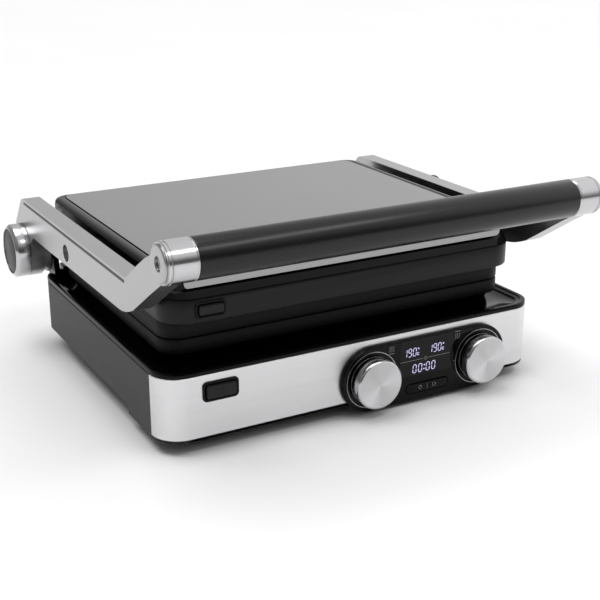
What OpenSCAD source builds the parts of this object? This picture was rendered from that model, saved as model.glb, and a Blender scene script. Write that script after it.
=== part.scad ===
// Panini press: a closed contact grill with a floating lid, two swinging arms and a digital control panel.
// The frame has +X to the right, the front faces -Y, +Z is up. The origin is at the centre of the base,
// on the surface that the rubber feet stand on. All sizes are in millimetres.

/* [Base] */
// Width of the base over its side walls
body_w = 330; // [300:1:380]
// Depth of the base, front face to rear wall
body_d = 272; // [240:1:320]
// Plan radius of the base's corners
corner_r = 21.5; // [18:0.5:26]
// Height of the rubber feet under the base's lower edge
foot_h = 10; // [9:0.5:14]
// Diameter of a rubber foot
foot_d = 24; // [16:1:30]
// Height of the deck's rim above the base's lower edge
deck_h = 53.2; // [50:0.2:64]
// Height of the steel fascia, with the trim under it
fascia_top = 50.2; // [47.5:0.1:50.3]
// Height of the thin trim under the fascia
trim_h = 2.4; // [1.6:0.1:3]
// Thickness of the moulded walls
wall = 2.5; // [2:0.1:3.5]
// Thickness of the sheet steel
sheet = 0.8; // [0.6:0.1:1]

/* [Controls] */
// Distance between the two knobs
knob_gap = 100; // [92:1:110]
// Distance of the panel's middle from the base's middle
panel_x = 55; // [45:1:60]
// Diameter of a knob
knob_d = 39.2; // [34:0.2:42]
// Length of a knob's front tier
knob_l = 8.3; // [6:0.1:12]
// Height of the control panel
panel_h = 52; // [48:1:56]
// How far the panel stands proud of the fascia
panel_t = 4; // [3:0.2:5]
// Length of the start button
start_w = 40.6; // [30:0.2:44]
// Height of the start button
start_h = 9; // [7:0.2:10]

/* [Plates] */
// How far the plates' sides stand in from the lid's sides
plate_in = 2.2; // [1:0.1:8]
// How far the plates' front stands back from the base's front face
plate_front_in = 25.1; // [24:0.1:32]
// How far the plates' rear stands in from the base's rear wall
plate_rear_in = 20.9; // [18:0.1:30]
// Height of the lower plate's rim
rim_h = 11.8; // [10:0.2:13]
// Height of the upper plate's rim
upper_rim_h = 14.4; // [13:0.2:16]
// Number of ridges on each plate
ridges = 20; // [14:1:24]
// Height of a ridge
ridge_h = 3; // [2:0.1:3.4]

/* [Lid] */
// How far the lid's sides stand in from the base's sides
lid_in = 12; // [11:0.5:13]
// How far the lid's front stands back from the base's front face
lid_front_in = 13.4; // [12:0.1:18]
// How far the lid's rear stands in from the base's rear wall
lid_rear_in = 2; // [1:0.1:6]
// Height of the satin skirt
skirt_h = 18.1; // [17:0.1:22]
// Height of the gloss frame over the skirt
frame_h = 19.4; // [17:0.1:22]
// Width of the gloss frame beside the steel top panel
frame_w = 10.5; // [8:0.1:16]
// How far the front lip's ends stand in from the top panel's sides
lip_in = 5; // [4:0.1:12]
// Height of the front lip that the top panel bends down into
lip_h = 12.4; // [9:0.2:13]

/* [Arms] */
// How far the arms' outer faces stand out from the base's sides
arm_out = 12; // [12:0.1:16]
// Thickness of an arm
arm_t = 15; // [12:0.2:15.4]
// Distance of the hinge axis behind the base's rear wall
hinge_back = 3; // [1:0.5:6]
// Diameter of the hinge hubs and caps
hub_d = 46; // [42:0.5:48]
// How far the hubs reach below the deck's rim
hub_dip = 1.4; // [0:0.1:1.6]
// Diameter of the hinge pins
pin_d = 12; // [10:0.5:14]
// Diameter of the handle's grip
grip_d = 28.8; // [24:0.2:32]
// Distance of the grip's end from the arm's outer face
grip_in = 20.5; // [20:0.5:36]
// Distance of the handle's axis in front of the base's front face
reach = 38; // [34:0.5:46]
// Height of the handle's axis above the hinge axis
rise = 74.7; // [70:0.1:78]

/* [Fits] */
// Gap between a turning pin and its bore, on the radius
fit = 0.05; // [0.03:0.01:0.1]
// Gap between neighbours that move past each other
gap = 0.5; // [0.4:0.1:1]

/* [Hidden] */

$fn = 64;
tiny = 0.01;

// heights, all above the standing surface
z_base = foot_h;
z_trim = z_base + trim_h;
z_fascia = z_base + fascia_top;
z_deck = z_base + deck_h;
z_plinth = z_deck + 3.8;
z_seam = z_plinth + rim_h;
seam_gap = 0.4;
z_skirt = z_seam + seam_gap + upper_rim_h;
z_frame = z_skirt + skirt_h;
z_lid = z_frame + frame_h;
z_hinge = z_deck + hub_d / 2 - hub_dip;
z_handle = z_hinge + rise;

// overall widths and depths that follow the base
lid_w = body_w - 2 * lid_in;
lid_d = body_d - lid_front_in - lid_rear_in;
plate_w = lid_w - 2 * plate_in;
plate_d = body_d - plate_front_in - plate_rear_in;
panel_top_w = lid_w - 2 * frame_w;
lip_w = panel_top_w - 2 * lip_in;
arms_w = body_w + 2 * arm_out;
grip_l = arms_w - 2 * grip_in;

// places on the plan
y_front = -body_d / 2;
y_rear = body_d / 2;
y_hinge = y_rear + hinge_back;
y_handle = y_front - reach;
y_plate = y_front + plate_front_in;
y_lid = y_front + lid_front_in;
side_split = y_front + corner_r;
foot_step_y = y_front + 66;
side_foot = 6.8;

// plan radii of the plates and the lid
plate_r = 17;
lid_front_r = 22.6;
lid_rear_r = 15;
lid_setback = 5.4;

// arms
x_arm = arms_w / 2;
x_arm_in = x_arm - arm_t;
hub_r = hub_d / 2;
hub_relief = body_w / 2 + 1;
relief_r = hub_r + 12;
arm_top = z_lid + 0.2;
arm_low = arm_top - 28.8;
boss_r = grip_d / 2;
y_pivot = y_hinge - 119;
z_pivot = arm_low + 10.9;
inlay_h = 2.5;
inlay_drop = 1.9;
inlay_t = 1.6;
inlay_front = y_front + 28;
post_in = lid_w / 2 + 1.6;

// controls
z_panel = z_base + 18.7;
panel_face = y_front - panel_t;
left_knob_x = panel_x - knob_gap / 2;
right_knob_x = panel_x + knob_gap / 2;
knob_rear_r = knob_d / 2 - 2.6;
knob_rear_l = 3.6;
knob_air = 0.4;
knob_face = panel_face - knob_air - knob_rear_l - knob_l;
shaft_d = 6;
window_w = 50;
window_h = 30;
window_z = z_panel + 10.4;
start_z = z_panel - 15.3;
start_x = panel_x + 1;
plunger_z = start_z + 1.4;
plunger_r = 1.2;
start_travel = 0.8;

// release buttons
release_in = 31;
release_x = release_in - plate_w / 2;
release_w = 28.4;
release_h = 15.4;
release_z = z_base + 36.8;
upper_release_w = 24.2;
upper_release_h = 12.6;
upper_release_z = z_skirt + skirt_h / 2 + 0.55;
release_travel = 3.5;

// well under each plate
well_side_in = 13;
well_end_in = 10;
well_r = 12;
well_w = plate_w - 2 * well_side_in;
well_d = plate_d - 2 * well_end_in;
tray_side_in = 11;
tray_end_in = 20;
tray_w = well_w - 2 * tray_side_in;
tray_d = well_d - 2 * tray_end_in;
tray_h = 9;
element_r = 3.3;
ridge_pitch = (plate_w - 34) / (ridges - 1);

// ---------------------------------------------------------------- shared shapes

// Rounded rectangle with its own front and rear corner radii, from y0 at the front to y0 + d
module outline(w, y0, d, rf, rb) {
    x_f = w / 2 - rf;
    x_b = w / 2 - rb;
    union() {
        translate([-w / 2, y0 + rf]) square([w, d - rf - rb]);
        translate([-x_f, y0]) square([2 * x_f, rf + tiny]);
        translate([-x_b, y0 + d - rb - tiny]) square([2 * x_b, rb + tiny]);
        for (s = [-1, 1]) {
            translate([s * x_f, y0 + rf]) circle(r = rf);
            translate([s * x_b, y0 + d - rb]) circle(r = rb);
        }
    }
}

// The base's plan, inset by i
module base_plan(i = 0) outline(body_w - 2 * i, y_front + i, body_d - 2 * i, corner_r - i, corner_r - i);

// The plates' plan, inset by i
module plate_plan(i = 0)
    outline(plate_w - 2 * i, y_plate + i, plate_d - 2 * i, plate_r - i / 2, plate_r - i / 2);

// The lid's plan, inset by i, with its front face set back by f
module lid_plan(i = 0, f = 0)
    outline(lid_w - 2 * i, y_lid + i + f, lid_d - 2 * i - f, lid_front_r - i, lid_rear_r - i);

// The plan of the well that holds an element and its tray, inset by i
module well_plan(i = 0)
    outline(well_w - 2 * i, y_plate + well_end_in + i, well_d - 2 * i, well_r - i, well_r - i);

// A flat solid from z0 up to z1 with the plan of its children
module slab(z0, z1) translate([0, 0, z0]) linear_extrude(z1 - z0) children();

// A solid drawn in the side view (its own x is Y, its own y is Z), from x0 to x1
module side_slab(x0, x1) translate([x0, 0, 0]) rotate([90, 0, 90]) linear_extrude(x1 - x0) children();

// A solid drawn in the front view, from y0 back to y1
module front_slab(y0, y1) translate([0, y1, 0]) rotate([90, 0, 0]) linear_extrude(y1 - y0) children();

// A round bar along X from x0 to x1
module bar_x(x0, x1, y, z, r) translate([x0, y, z]) rotate([0, 90, 0]) cylinder(h = x1 - x0, r = r);

// A round bar along Y from y0 to y1
module bar_y(y0, y1, x, z, r) translate([x, y0, z]) rotate([-90, 0, 0]) cylinder(h = y1 - y0, r = r);

// A bar with rounded ends in the front view
module pill(w, h) {
    square([w - h, h], center = true);
    for (s = [-1, 1]) translate([s * (w - h) / 2, 0]) circle(d = h);
}

// A rectangle with rounded corners, centred
module round_box(w, h, r) {
    square([w - 2 * r, h], center = true);
    square([w, h - 2 * r], center = true);
    for (sx = [-1, 1], sy = [-1, 1]) translate([sx * (w / 2 - r), sy * (h / 2 - r)]) circle(r = r);
}

// Mirrors its children to both sides of the press
module both_sides() {
    children();
    mirror([1, 0, 0]) children();
}

// ---------------------------------------------------------------- base

screw_x = body_w / 2 - 40;
screw_y = body_d / 2 - 30;
post_foot_y = y_rear - 24;
post_foot_d = 14;
tenon_d = 8;
tenon_l = 12;
post_foot_x = x_arm_in - 2.5;

// Openings in the fascia and in the wall behind it
module front_openings(c) {
    translate([release_x, release_z]) round_box(release_w - 2 + 2 * c, release_h - 2 + 2 * c, 3);
    translate([left_knob_x, z_panel]) circle(r = 9 + c);
    translate([right_knob_x, z_panel]) circle(r = 9 + c);
    translate([panel_x, window_z]) square([window_w - 4 + 2 * c, window_h - 4 + 2 * c], center = true);
    translate([start_x, start_z]) pill(start_w - 6 + 2 * c, start_h - 3 + 2 * c);
}

// Moulded side and rear walls, with a front wall that backs the fascia
module lower_housing() color("#4f4f51") difference() {
    slab(z_base, z_fascia) base_plan();
    slab(0, 2 * z_deck) base_plan(wall + sheet);
    translate([-body_w, foot_step_y, 0]) cube([2 * body_w, body_d, z_base + side_foot]);
    difference() {
        translate([-body_w, -body_d, 0]) cube([2 * body_w, body_d + side_split, 2 * z_deck]);
        slab(0, 2 * z_deck) base_plan(sheet);
    }
    front_slab(y_front - 1, y_front + wall + sheet + 1) front_openings(0.6);
    bar_y(y_rear - 8, y_rear + 1, gland_x, gland_z, gland_r + 0.1);
}

// Underside of the floor at a place y: low at the front, higher behind the step
function floor_z(y) = y < foot_step_y ? z_base + 0.4 : z_base + side_foot;

// One zone of the floor, from y0 to y1 and from z0 to z1, inside the walls
module floor_zone(y0, y1, z0, z1) intersection() {
    slab(z0, z1) base_plan(wall + sheet + 0.3);
    translate([-body_w, y0, 0]) cube([2 * body_w, y1 - y0, z_deck]);
}

// Stepped floor of the base, with a hole for each foot's screw
module bottom_cover() color("#2b2b2d") difference() {
    union() {
        floor_zone(y_front, foot_step_y, floor_z(y_front), floor_z(y_front) + wall);
        floor_zone(foot_step_y - wall, foot_step_y, floor_z(y_front), floor_z(y_rear) + wall);
        floor_zone(foot_step_y - wall, y_rear, floor_z(y_rear), floor_z(y_rear) + wall);
    }
    for (x = [-screw_x, screw_x], y = [-screw_y, screw_y]) translate([x, y, 0]) cylinder(h = z_deck, r = 2);
}

// Brushed steel fascia, wrapped round both front corners
module front_fascia() color("#c4c4c6") difference() {
    slab(z_trim, z_fascia) base_plan();
    slab(0, z_deck) base_plan(sheet);
    translate([-body_w, side_split, 0]) cube([2 * body_w, 2 * body_d, 2 * z_deck]);
    front_slab(y_front - 1, y_front + sheet + 1) front_openings(0);
}

// Thin black strip that closes the lower edge of the fascia
module fascia_trim() color("#1a1a1b") difference() {
    slab(z_base, z_trim) base_plan();
    slab(0, z_deck) base_plan(sheet);
    translate([-body_w, side_split, 0]) cube([2 * body_w, 2 * body_d, 2 * z_deck]);
}

// Gloss deck: rim, channel, raised plinth for the lower plate, rear ledge and the well
module top_deck() color("#0d0d0e") difference() {
    union() {
        slab(z_fascia, z_deck) base_plan();
        slab(z_deck - tiny, z_plinth) plate_plan(4.4);
        translate([-post_in + 6, y_rear - 15, z_deck - tiny]) cube([2 * post_in - 12, 13, 6.4]);
    }
    difference() {
        slab(z_deck - 1.4, z_deck + tiny) base_plan(8);
        slab(0, 2 * z_deck) plate_plan(4.4);
        translate([-body_w, y_rear - 26, 0]) cube([2 * body_w, 40, 2 * z_deck]);
    }
    slab(0, 2 * z_deck) well_plan();
    both_sides() translate([post_in - 1.2, post_foot_y - 0.2, 0])
        cube([post_foot_x - post_in + 1.4, post_foot_d + 0.4, 2 * z_deck]);
}

// Four rubber feet with a recess for the screw's head
module rubber_feet() color("#202021") for (x = [-screw_x, screw_x], y = [-screw_y, screw_y])
    translate([x, y, 0]) difference() {
        cylinder(h = floor_z(y), r = foot_d / 2);
        translate([0, 0, -1]) cylinder(h = 6, r = 5);
        cylinder(h = 2 * z_base, r = 2);
    }

// Screws through the feet into the floor
module base_screws() color("#8c8c90") for (x = [-screw_x, screw_x], y = [-screw_y, screw_y])
    translate([x, y, 0]) {
        translate([0, 0, 2.6]) cylinder(h = 2.4, r = 3.8);
        translate([0, 0, 5 - tiny]) cylinder(h = floor_z(y) + wall - 3, r = 1.95);
    }

// Short gland that the mains cord leaves through
gland_x = -90;
gland_z = z_base + 26;
gland_r = 7.9;
module cord_gland() color("#161617") difference() {
    union() {
        bar_y(y_rear - 6, y_rear + 5, gland_x, gland_z, gland_r);
        bar_y(y_rear + tiny, y_rear + 2.4, gland_x, gland_z, gland_r + 2);
    }
    bar_y(y_rear - 7, y_rear + 6, gland_x, gland_z, 3.8);
}

// ---------------------------------------------------------------- controls

// Pill-shaped panel plate in front of the fascia
module control_panel() color("#101011") difference() {
    front_slab(panel_face, y_front) translate([panel_x, z_panel]) pill(knob_gap + panel_h, panel_h);
    front_slab(panel_face - 1, panel_face + 1.6)
        translate([panel_x, window_z]) square([window_w, window_h], center = true);
    front_slab(panel_face - 1, y_front + 1)
        translate([panel_x, window_z]) square([window_w - 3, window_h - 3], center = true);
    front_slab(panel_face - 1, y_front + 1) translate([start_x, start_z]) pill(start_w, start_h);
    for (x = [left_knob_x, right_knob_x]) bar_y(panel_face - 1, y_front + 1, x, z_panel, 7.5);
}

// Dark window over the digits
module display_window() color("#1b1b22")
    front_slab(panel_face, panel_face + 1.6)
        translate([panel_x, window_z]) square([window_w - 0.1, window_h - 0.1], center = true);

// Circuit board with the digit blocks that shine through the window
module display_board() color("#1d5a35") {
    board_y = y_front + wall + sheet + 6;
    difference() {
        front_slab(board_y, board_y + 1.6)
            translate([panel_x, z_panel + 2.6]) square([knob_gap + 30, 35], center = true);
        for (x = [left_knob_x, right_knob_x]) bar_y(board_y - 1, board_y + 3, x, z_panel, 5.2);
    }
    front_slab(board_y - 5, board_y + tiny)
        translate([panel_x, window_z]) square([window_w - 8, window_h - 8], center = true);
    front_slab(board_y - 4, board_y + tiny) translate([start_x, plunger_z]) square([5, 2.6], center = true);
}

// Power board with its relay and transformer, on the floor at the rear
module power_board() color("#8a6a2c") {
    board_z = z_base + side_foot + wall + 5;
    translate([40, y_rear - 36, board_z]) cube([80, 28, 1.6]);
    translate([46, y_rear - 33, board_z + 1.6 - tiny]) cube([22, 20, 15]);
    translate([80, y_rear - 33, board_z + 1.6 - tiny]) cube([18, 14, 12]);
    for (x = [44, 116], y = [y_rear - 33, y_rear - 11])
        translate([x, y, z_base + side_foot + wall]) cylinder(h = 5.05, r = 2);
}

// The two rotary encoders behind the panel
module knob_encoders() color("#9a9a9c") for (x = [left_knob_x, right_knob_x]) difference() {
    union() {
        bar_y(y_front + wall + sheet + 7.6, y_front + wall + sheet + 16, x, z_panel, 9);
        bar_y(y_front + 1, y_front + wall + sheet + 8, x, z_panel, 5);
    }
    bar_y(y_front, y_front + wall + sheet + 13, x, z_panel, shaft_d / 2 + fit);
}

// Spun metal knob of two tiers, with a turned front edge and a bore for the shaft
module knob(x) translate([x, panel_face - knob_air, z_panel]) rotate([90, 0, 0]) difference() {
    rotate_extrude() polygon([[0, 0], [knob_rear_r, 0], [knob_rear_r, knob_rear_l],
        [knob_d / 2, knob_rear_l], [knob_d / 2, knob_rear_l + knob_l - 1.2],
        [knob_d / 2 - 1.2, knob_rear_l + knob_l], [0, knob_rear_l + knob_l]]);
    translate([0, 0, -1]) cylinder(h = 1 + knob_rear_l + knob_l - 3, r = shaft_d / 2 + 0.02);
    translate([0, 0, -1]) difference() {
        cylinder(h = 1 + knob_rear_l + knob_l - 4, r = knob_rear_r - 2);
        cylinder(h = 20, r = shaft_d / 2 + 3);
    }
}

module left_knob() color("#c9c9cb") knob(left_knob_x);
module right_knob() color("#c9c9cb") knob(right_knob_x);

// Encoder shaft under a knob
module knob_shaft(x) bar_y(panel_face - knob_air - knob_rear_l - knob_l + 3.05,
    y_front + wall + sheet + 12, x, z_panel, shaft_d / 2);

module left_knob_shaft() color("#b8b8ba") knob_shaft(left_knob_x);
module right_knob_shaft() color("#b8b8ba") knob_shaft(right_knob_x);

// Pill-shaped start button with its plunger
module start_button() color("#151516") {
    start_back = y_front - start_travel - gap;
    front_slab(panel_face - 0.5, start_back)
        translate([start_x, start_z]) pill(start_w - 2 * gap, start_h - 2 * gap);
    bar_y(start_back - tiny, y_front + wall + sheet + 0.6, start_x, plunger_z, plunger_r);
}

// ---------------------------------------------------------------- plate releases

// Frame of a release button, lining its opening
module release_bezel(w, h, z, face, depth) difference() {
    union() {
        front_slab(face - 1.2, face) translate([release_x, z]) round_box(w, h, 3.6);
        front_slab(face - tiny, face + depth) translate([release_x, z]) round_box(w - 2.2, h - 2.2, 2.9);
    }
    front_slab(face - 2, face + depth + 1) translate([release_x, z]) round_box(w - 4, h - 4, 2);
}

// Push button that stands a little proud of its bezel
module release_button(w, h, z, face, depth) {
    front_slab(face - 2.6, face + depth)
        translate([release_x, z]) round_box(w - 4 - 2 * gap, h - 4 - 2 * gap, 1.8);
}

latch_w = 12;
rail_x = 8;
rail_t = 2.4;
nose_l = 4.4;
nose_t = 2.4;
keeper_y = y_plate + 13;
keeper_l = 5;
keeper_t = 2.4;
keeper_foot = 2;
keeper_drop = 12;

// Latch behind a button: two rails pass the plate's keeper on both sides and carry a cross plate,
// whose nose lies over the keeper's foot until the button is pressed
module release_latch(z, nose_z, back, face, depth) {
    lo = min(z - 2.5, nose_z);
    hi = max(z + 2.5, nose_z + nose_t);
    for (s = [-1, 1]) translate([release_x + s * rail_x - rail_t / 2, face + depth - tiny, z - 2.5])
        cube([rail_t, back + 3 - face - depth, 5]);
    translate([release_x - rail_x - rail_t / 2, back, lo]) cube([2 * rail_x + rail_t, 3, hi - lo]);
    translate([release_x - latch_w / 2, back - nose_l, nose_z]) cube([latch_w, nose_l + tiny, nose_t]);
}

button_depth = 5.5;
latch_back = keeper_y + keeper_l + 4;

module lower_release_bezel() color("#151516")
    release_bezel(release_w, release_h, release_z, y_front, wall + sheet);
module lower_release_button() color("#1c1c1d")
    release_button(release_w, release_h, release_z, y_front, button_depth);
module lower_release_latch() color("#6e6e70")
    release_latch(release_z, z_plinth - 9.4, latch_back, y_front, button_depth);

module upper_release_bezel() color("#151516")
    release_bezel(upper_release_w, upper_release_h, upper_release_z, y_lid, wall);
module upper_release_button() color("#1c1c1d")
    release_button(upper_release_w, upper_release_h, upper_release_z, y_lid, button_depth);
module upper_release_latch() color("#6e6e70")
    release_latch(upper_release_z, z_skirt + 7, latch_back, y_lid, button_depth);

// ---------------------------------------------------------------- plates, elements and trays

// One ridge's section, standing on z = 0
module ridge_section() polygon([[-3.2, -0.4], [3.2, -0.4], [1.5, ridge_h], [-1.5, ridge_h]]);

// A grill plate lying with its ridges up: rim from 0 to h, ridge tops below the rim's top
module grill_plate(h, floor_z) {
    difference() {
        slab(0, h) plate_plan();
        slab(floor_z, h + 1) plate_plan(7);
        slab(-1, floor_z - 3) plate_plan(6);
    }
    for (k = [0 : ridges - 1]) translate([(k - (ridges - 1) / 2) * ridge_pitch, y_plate + 15, floor_z])
        rotate([-90, 0, 0]) mirror([0, 1, 0]) linear_extrude(plate_d - 30) ridge_section();
}

// Keeper that a latch holds: a leg from z0 to z1 and, at foot_z, a foot pointing back
module keeper(z0, z1, foot_z) {
    translate([release_x - latch_w / 2, keeper_y, z0]) cube([latch_w, keeper_t, z1 - z0]);
    translate([release_x - latch_w / 2, keeper_y, foot_z]) cube([latch_w, keeper_t + keeper_l, keeper_foot]);
}

// Lower non-stick plate
module lower_plate() color("#1b1b1c") {
    translate([0, 0, z_plinth]) grill_plate(rim_h, rim_h - ridge_h - 0.8);
    keeper(z_plinth - keeper_drop, z_plinth + rim_h - ridge_h - 3, z_plinth - keeper_drop);
}

// Upper non-stick plate, the lower one's mirror image with a taller rim
module upper_plate() color("#1b1b1c") {
    translate([0, 0, z_skirt]) mirror([0, 0, 1]) grill_plate(upper_rim_h, upper_rim_h - ridge_h - 0.8);
    keeper(z_skirt - upper_rim_h + ridge_h + 3, z_skirt + keeper_drop, z_skirt + keeper_drop - keeper_foot);
}

// Dished steel tray under an element
module tray(w, d, h) {
    mid_y = y_plate + plate_d / 2;
    difference() {
        slab(0, h) outline(w, mid_y - d / 2, d, 12, 12);
        slab(sheet, h + 1) outline(w - 2 * sheet, mid_y - d / 2 + sheet, d - 2 * sheet, 11, 11);
    }
}

module lower_reflector() color("#a9a9ab")
    translate([0, 0, z_plinth - 4 - tray_h]) tray(tray_w, tray_d, tray_h);
module upper_reflector() color("#a9a9ab")
    translate([0, 0, z_skirt + 3 + tray_h]) mirror([0, 0, 1]) tray(tray_w, tray_d, tray_h);

// One half-round bend of an element, opening to -X or, with side = -1, to +X
module element_bend(x, y, z, pitch, side) translate([x, y, z]) rotate([0, 0, side * -90])
    rotate_extrude(angle = 180) translate([pitch / 2, 0]) circle(r = element_r);

// Sheathed element at height z: four straight runs, three bends and two cold ends to the left
module element(z) {
    run = floor(tray_w / 2 - 40);
    pitch = 2 * floor(tray_d / 9);
    mid_y = y_plate + plate_d / 2;
    for (k = [0 : 3])
        bar_x(k == 0 || k == 3 ? -run - 12 : -run, run, mid_y + (k - 1.5) * pitch, z, element_r);
    for (k = [0 : 2]) {
        side = k % 2 == 0 ? 1 : -1;
        element_bend(side * run, mid_y + (k - 1) * pitch, z, pitch, side);
    }
}

module lower_element() color("#55504c") element(z_plinth - 4 - tray_h + sheet + element_r + 1.2);
module upper_element() color("#55504c") element(z_skirt + 3 + tray_h - sheet - element_r - 1.2);

// ---------------------------------------------------------------- hinge

// Post on the deck: a round head on the hinge axis and a foot that goes down into the base
module hinge_post() color("#0f0f10") difference() {
    union() {
        side_slab(post_in, x_arm_in - 1.5) translate([y_hinge, z_hinge]) circle(r = hub_r - 1);
        side_slab(post_in, post_foot_x) polygon([[post_foot_y, z_fascia - tenon_l],
            [post_foot_y + tenon_d, z_fascia - tenon_l], [post_foot_y + tenon_d, z_fascia + 0.2],
            [post_foot_y + post_foot_d, z_fascia + 0.2], [post_foot_y + post_foot_d, z_deck],
            [y_hinge, z_hinge - hub_r + 4], [y_hinge, z_hinge], [post_foot_y + 2, z_hinge - 2],
            [post_foot_y, z_deck + 4]]);
    }
    bar_x(0, body_w, y_hinge, z_hinge, pin_d / 2);
}

module hinge_post_left() mirror([1, 0, 0]) hinge_post();
module hinge_post_right() hinge_post();

// Pins fixed in the posts, on which the arms swing
module hinge_pins() color("#b4b4b6") both_sides() bar_x(post_in, x_arm + 4, y_hinge, z_hinge, pin_d / 2);

// Thin steel washers between the posts and the arms
module hinge_washers() color("#a2a2a4") both_sides() difference() {
    bar_x(x_arm_in - 1.5, hub_relief - 0.3, y_hinge, z_hinge, hub_r - 2);
    bar_x(0, body_w, y_hinge, z_hinge, pin_d / 2);
}

// Plain bushes pressed into the arms
module hinge_bushes() color("#b08d4f") both_sides() difference() {
    bar_x(hub_relief, x_arm, y_hinge, z_hinge, pin_d / 2 + 3);
    bar_x(0, body_w, y_hinge, z_hinge, pin_d / 2 + fit);
}

// Polished cap over the hinge, with a turned edge and a recess for its disc
cap_l = 13;
disc_r = hub_r - 3.6;
module hinge_cap() translate([x_arm, y_hinge, z_hinge]) rotate([0, 90, 0]) difference() {
    rotate_extrude() polygon([[0, 0], [hub_r, 0], [hub_r, cap_l - 2.4], [hub_r - 2.4, cap_l], [0, cap_l]]);
    translate([0, 0, cap_l - 1.5]) cylinder(h = 3, r = disc_r);
    translate([0, 0, -1]) cylinder(h = 6, r = pin_d / 2 + 1);
}

module hinge_cap_left() color("#c2c2c4") mirror([1, 0, 0]) hinge_cap();
module hinge_cap_right() color("#c2c2c4") hinge_cap();

// Dark disc set in a cap
module cap_disc() bar_x(x_arm + cap_l - 1.5, x_arm + cap_l - 0.3, y_hinge, z_hinge, disc_r);
module cap_disc_left() color("#4a4a4c") mirror([1, 0, 0]) cap_disc();
module cap_disc_right() color("#4a4a4c") cap_disc();

// ---------------------------------------------------------------- arms and handle

// Side view of an arm: hub, straight bar, chin, rising front and the round boss for the handle
chin_y = y_front + 30;
elbow_y = y_front + 27;
module arm_profile() {
    translate([y_hinge, z_hinge]) circle(r = hub_r);
    translate([y_handle, z_handle]) circle(r = boss_r);
    translate([chin_y + 3, arm_low + 12]) circle(r = 12);
    polygon([[y_hinge + 3.5, arm_top - 2.2], [y_hinge - 1, arm_top], [elbow_y, arm_top],
        [elbow_y - 22, arm_top + 14.6], [y_handle + 13, z_handle + 5.6],
        [y_handle + 5, z_handle + boss_r - 1], [y_handle - 9, z_handle - 11.2],
        [y_handle - 3, z_handle - boss_r + 1], [chin_y - 26, arm_low + 16.4], [chin_y - 6, arm_low + 3.6],
        [chin_y + 3, arm_low], [y_hinge - 14, arm_low], [y_hinge - 20, z_hinge + 11],
        [y_hinge, z_hinge], [y_hinge + hub_r - 2, z_hinge + 8], [y_hinge + 20, z_hinge + 19]]);
}

recess_r = 6.8;
recess_l = 7;
head_t = 2.5;
screw_r = 4;
handle_recess_r = 5.2;
core_r = grip_d / 2 - 4.4;
core_end = grip_l / 2 + 8;
lock_y = y_pivot + 17;
lock_z = arm_top - 12.8;
lock_r = 11.4;
lock_out = 8.5;
lock_travel = 3;
lock_stem_r = 4;
lock_stem_l = 6;

// Cast arm with its bores for the bush, the pivot screw, the handle core and the inlay
module arm() difference() {
    union() {
        side_slab(x_arm_in, x_arm) arm_profile();
        bar_x(grip_l / 2, x_arm + 1.5, y_handle, z_handle, boss_r);
    }
    bar_x(0, hub_relief, y_hinge, z_hinge, relief_r);
    bar_x(0, body_w, y_hinge, z_hinge, pin_d / 2 + 3);
    bar_x(0, body_w, y_pivot, z_pivot, screw_r);
    bar_x(x_arm - recess_l, x_arm + 1, y_pivot, z_pivot, recess_r);
    bar_x(0, core_end, y_handle, z_handle, core_r);
    bar_x(0, body_w, y_handle, z_handle, 3);
    bar_x(x_arm - 2.5, body_w, y_handle, z_handle, handle_recess_r);
    translate([x_arm - inlay_t, inlay_front, arm_top - inlay_drop - inlay_h])
        cube([inlay_t + 5, body_d + 60, inlay_h]);
}

module arm_left() color("#c8c8c9") mirror([1, 0, 0]) arm();
module arm_right() color("#c8c8c9") difference() {
    arm();
    bar_x(x_arm - lock_stem_l - lock_travel - 1, x_arm + 1, lock_y, lock_z, lock_stem_r + fit);
}

// Dark strip let into the arm's outer edge
module arm_inlay() intersection() {
    translate([x_arm - inlay_t, inlay_front, arm_top - inlay_drop - inlay_h])
        cube([inlay_t - 0.4, body_d + 60, inlay_h]);
    side_slab(x_arm_in, x_arm) arm_profile();
}
module arm_inlay_left() color("#4d4d50") mirror([1, 0, 0]) arm_inlay();
module arm_inlay_right() color("#4d4d50") arm_inlay();

// Tubular grip between the arms
module handle_grip() color("#1d1d1e") difference() {
    bar_x(-grip_l / 2, grip_l / 2, y_handle, z_handle, grip_d / 2);
    bar_x(-grip_l, grip_l, y_handle, z_handle, core_r);
}

// Steel tube inside the grip, held in the arms' bosses
module handle_core() color("#a0a0a2") difference() {
    bar_x(-core_end, core_end, y_handle, z_handle, core_r);
    bar_x(-body_w, body_w, y_handle, z_handle, 3);
}

// Screws that draw the arms onto the core
module handle_screws() color("#87878a") both_sides() union() {
    bar_x(x_arm - 2.5, x_arm - 0.4, y_handle, z_handle, handle_recess_r - 0.4);
    bar_x(core_end - 14, x_arm - 2.5 + tiny, y_handle, z_handle, 2.95);
}

// Shoulder screws on which the lid floats
module pivot_screws() color("#8e8e91") both_sides() union() {
    bar_x(x_arm - recess_l, x_arm - recess_l + head_t, y_pivot, z_pivot, recess_r - 0.5);
    bar_x(lid_w / 2 + 1, x_arm - recess_l + tiny, y_pivot, z_pivot, screw_r);
}

// Push button on the right arm, behind the pivot, that locks the lid
module lock_button() color("#141415") {
    bar_x(x_arm + lock_travel + gap, x_arm + lock_out, lock_y, lock_z, lock_r);
    bar_x(x_arm - lock_stem_l, x_arm + lock_travel + gap + tiny, lock_y, lock_z, lock_stem_r);
}

// ---------------------------------------------------------------- lid

lid_screw_x = lid_w / 2 - 21;
lid_screw_in = 11.5;
lid_screw_r = 3;

// Places its children at each of the four lid screws
module at_lid_screws() for (sx = [-1, 1], y = [y_lid + lid_screw_in, y_lid + lid_d - lid_screw_in])
    translate([sx * lid_screw_x, y, 0]) children();

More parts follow.
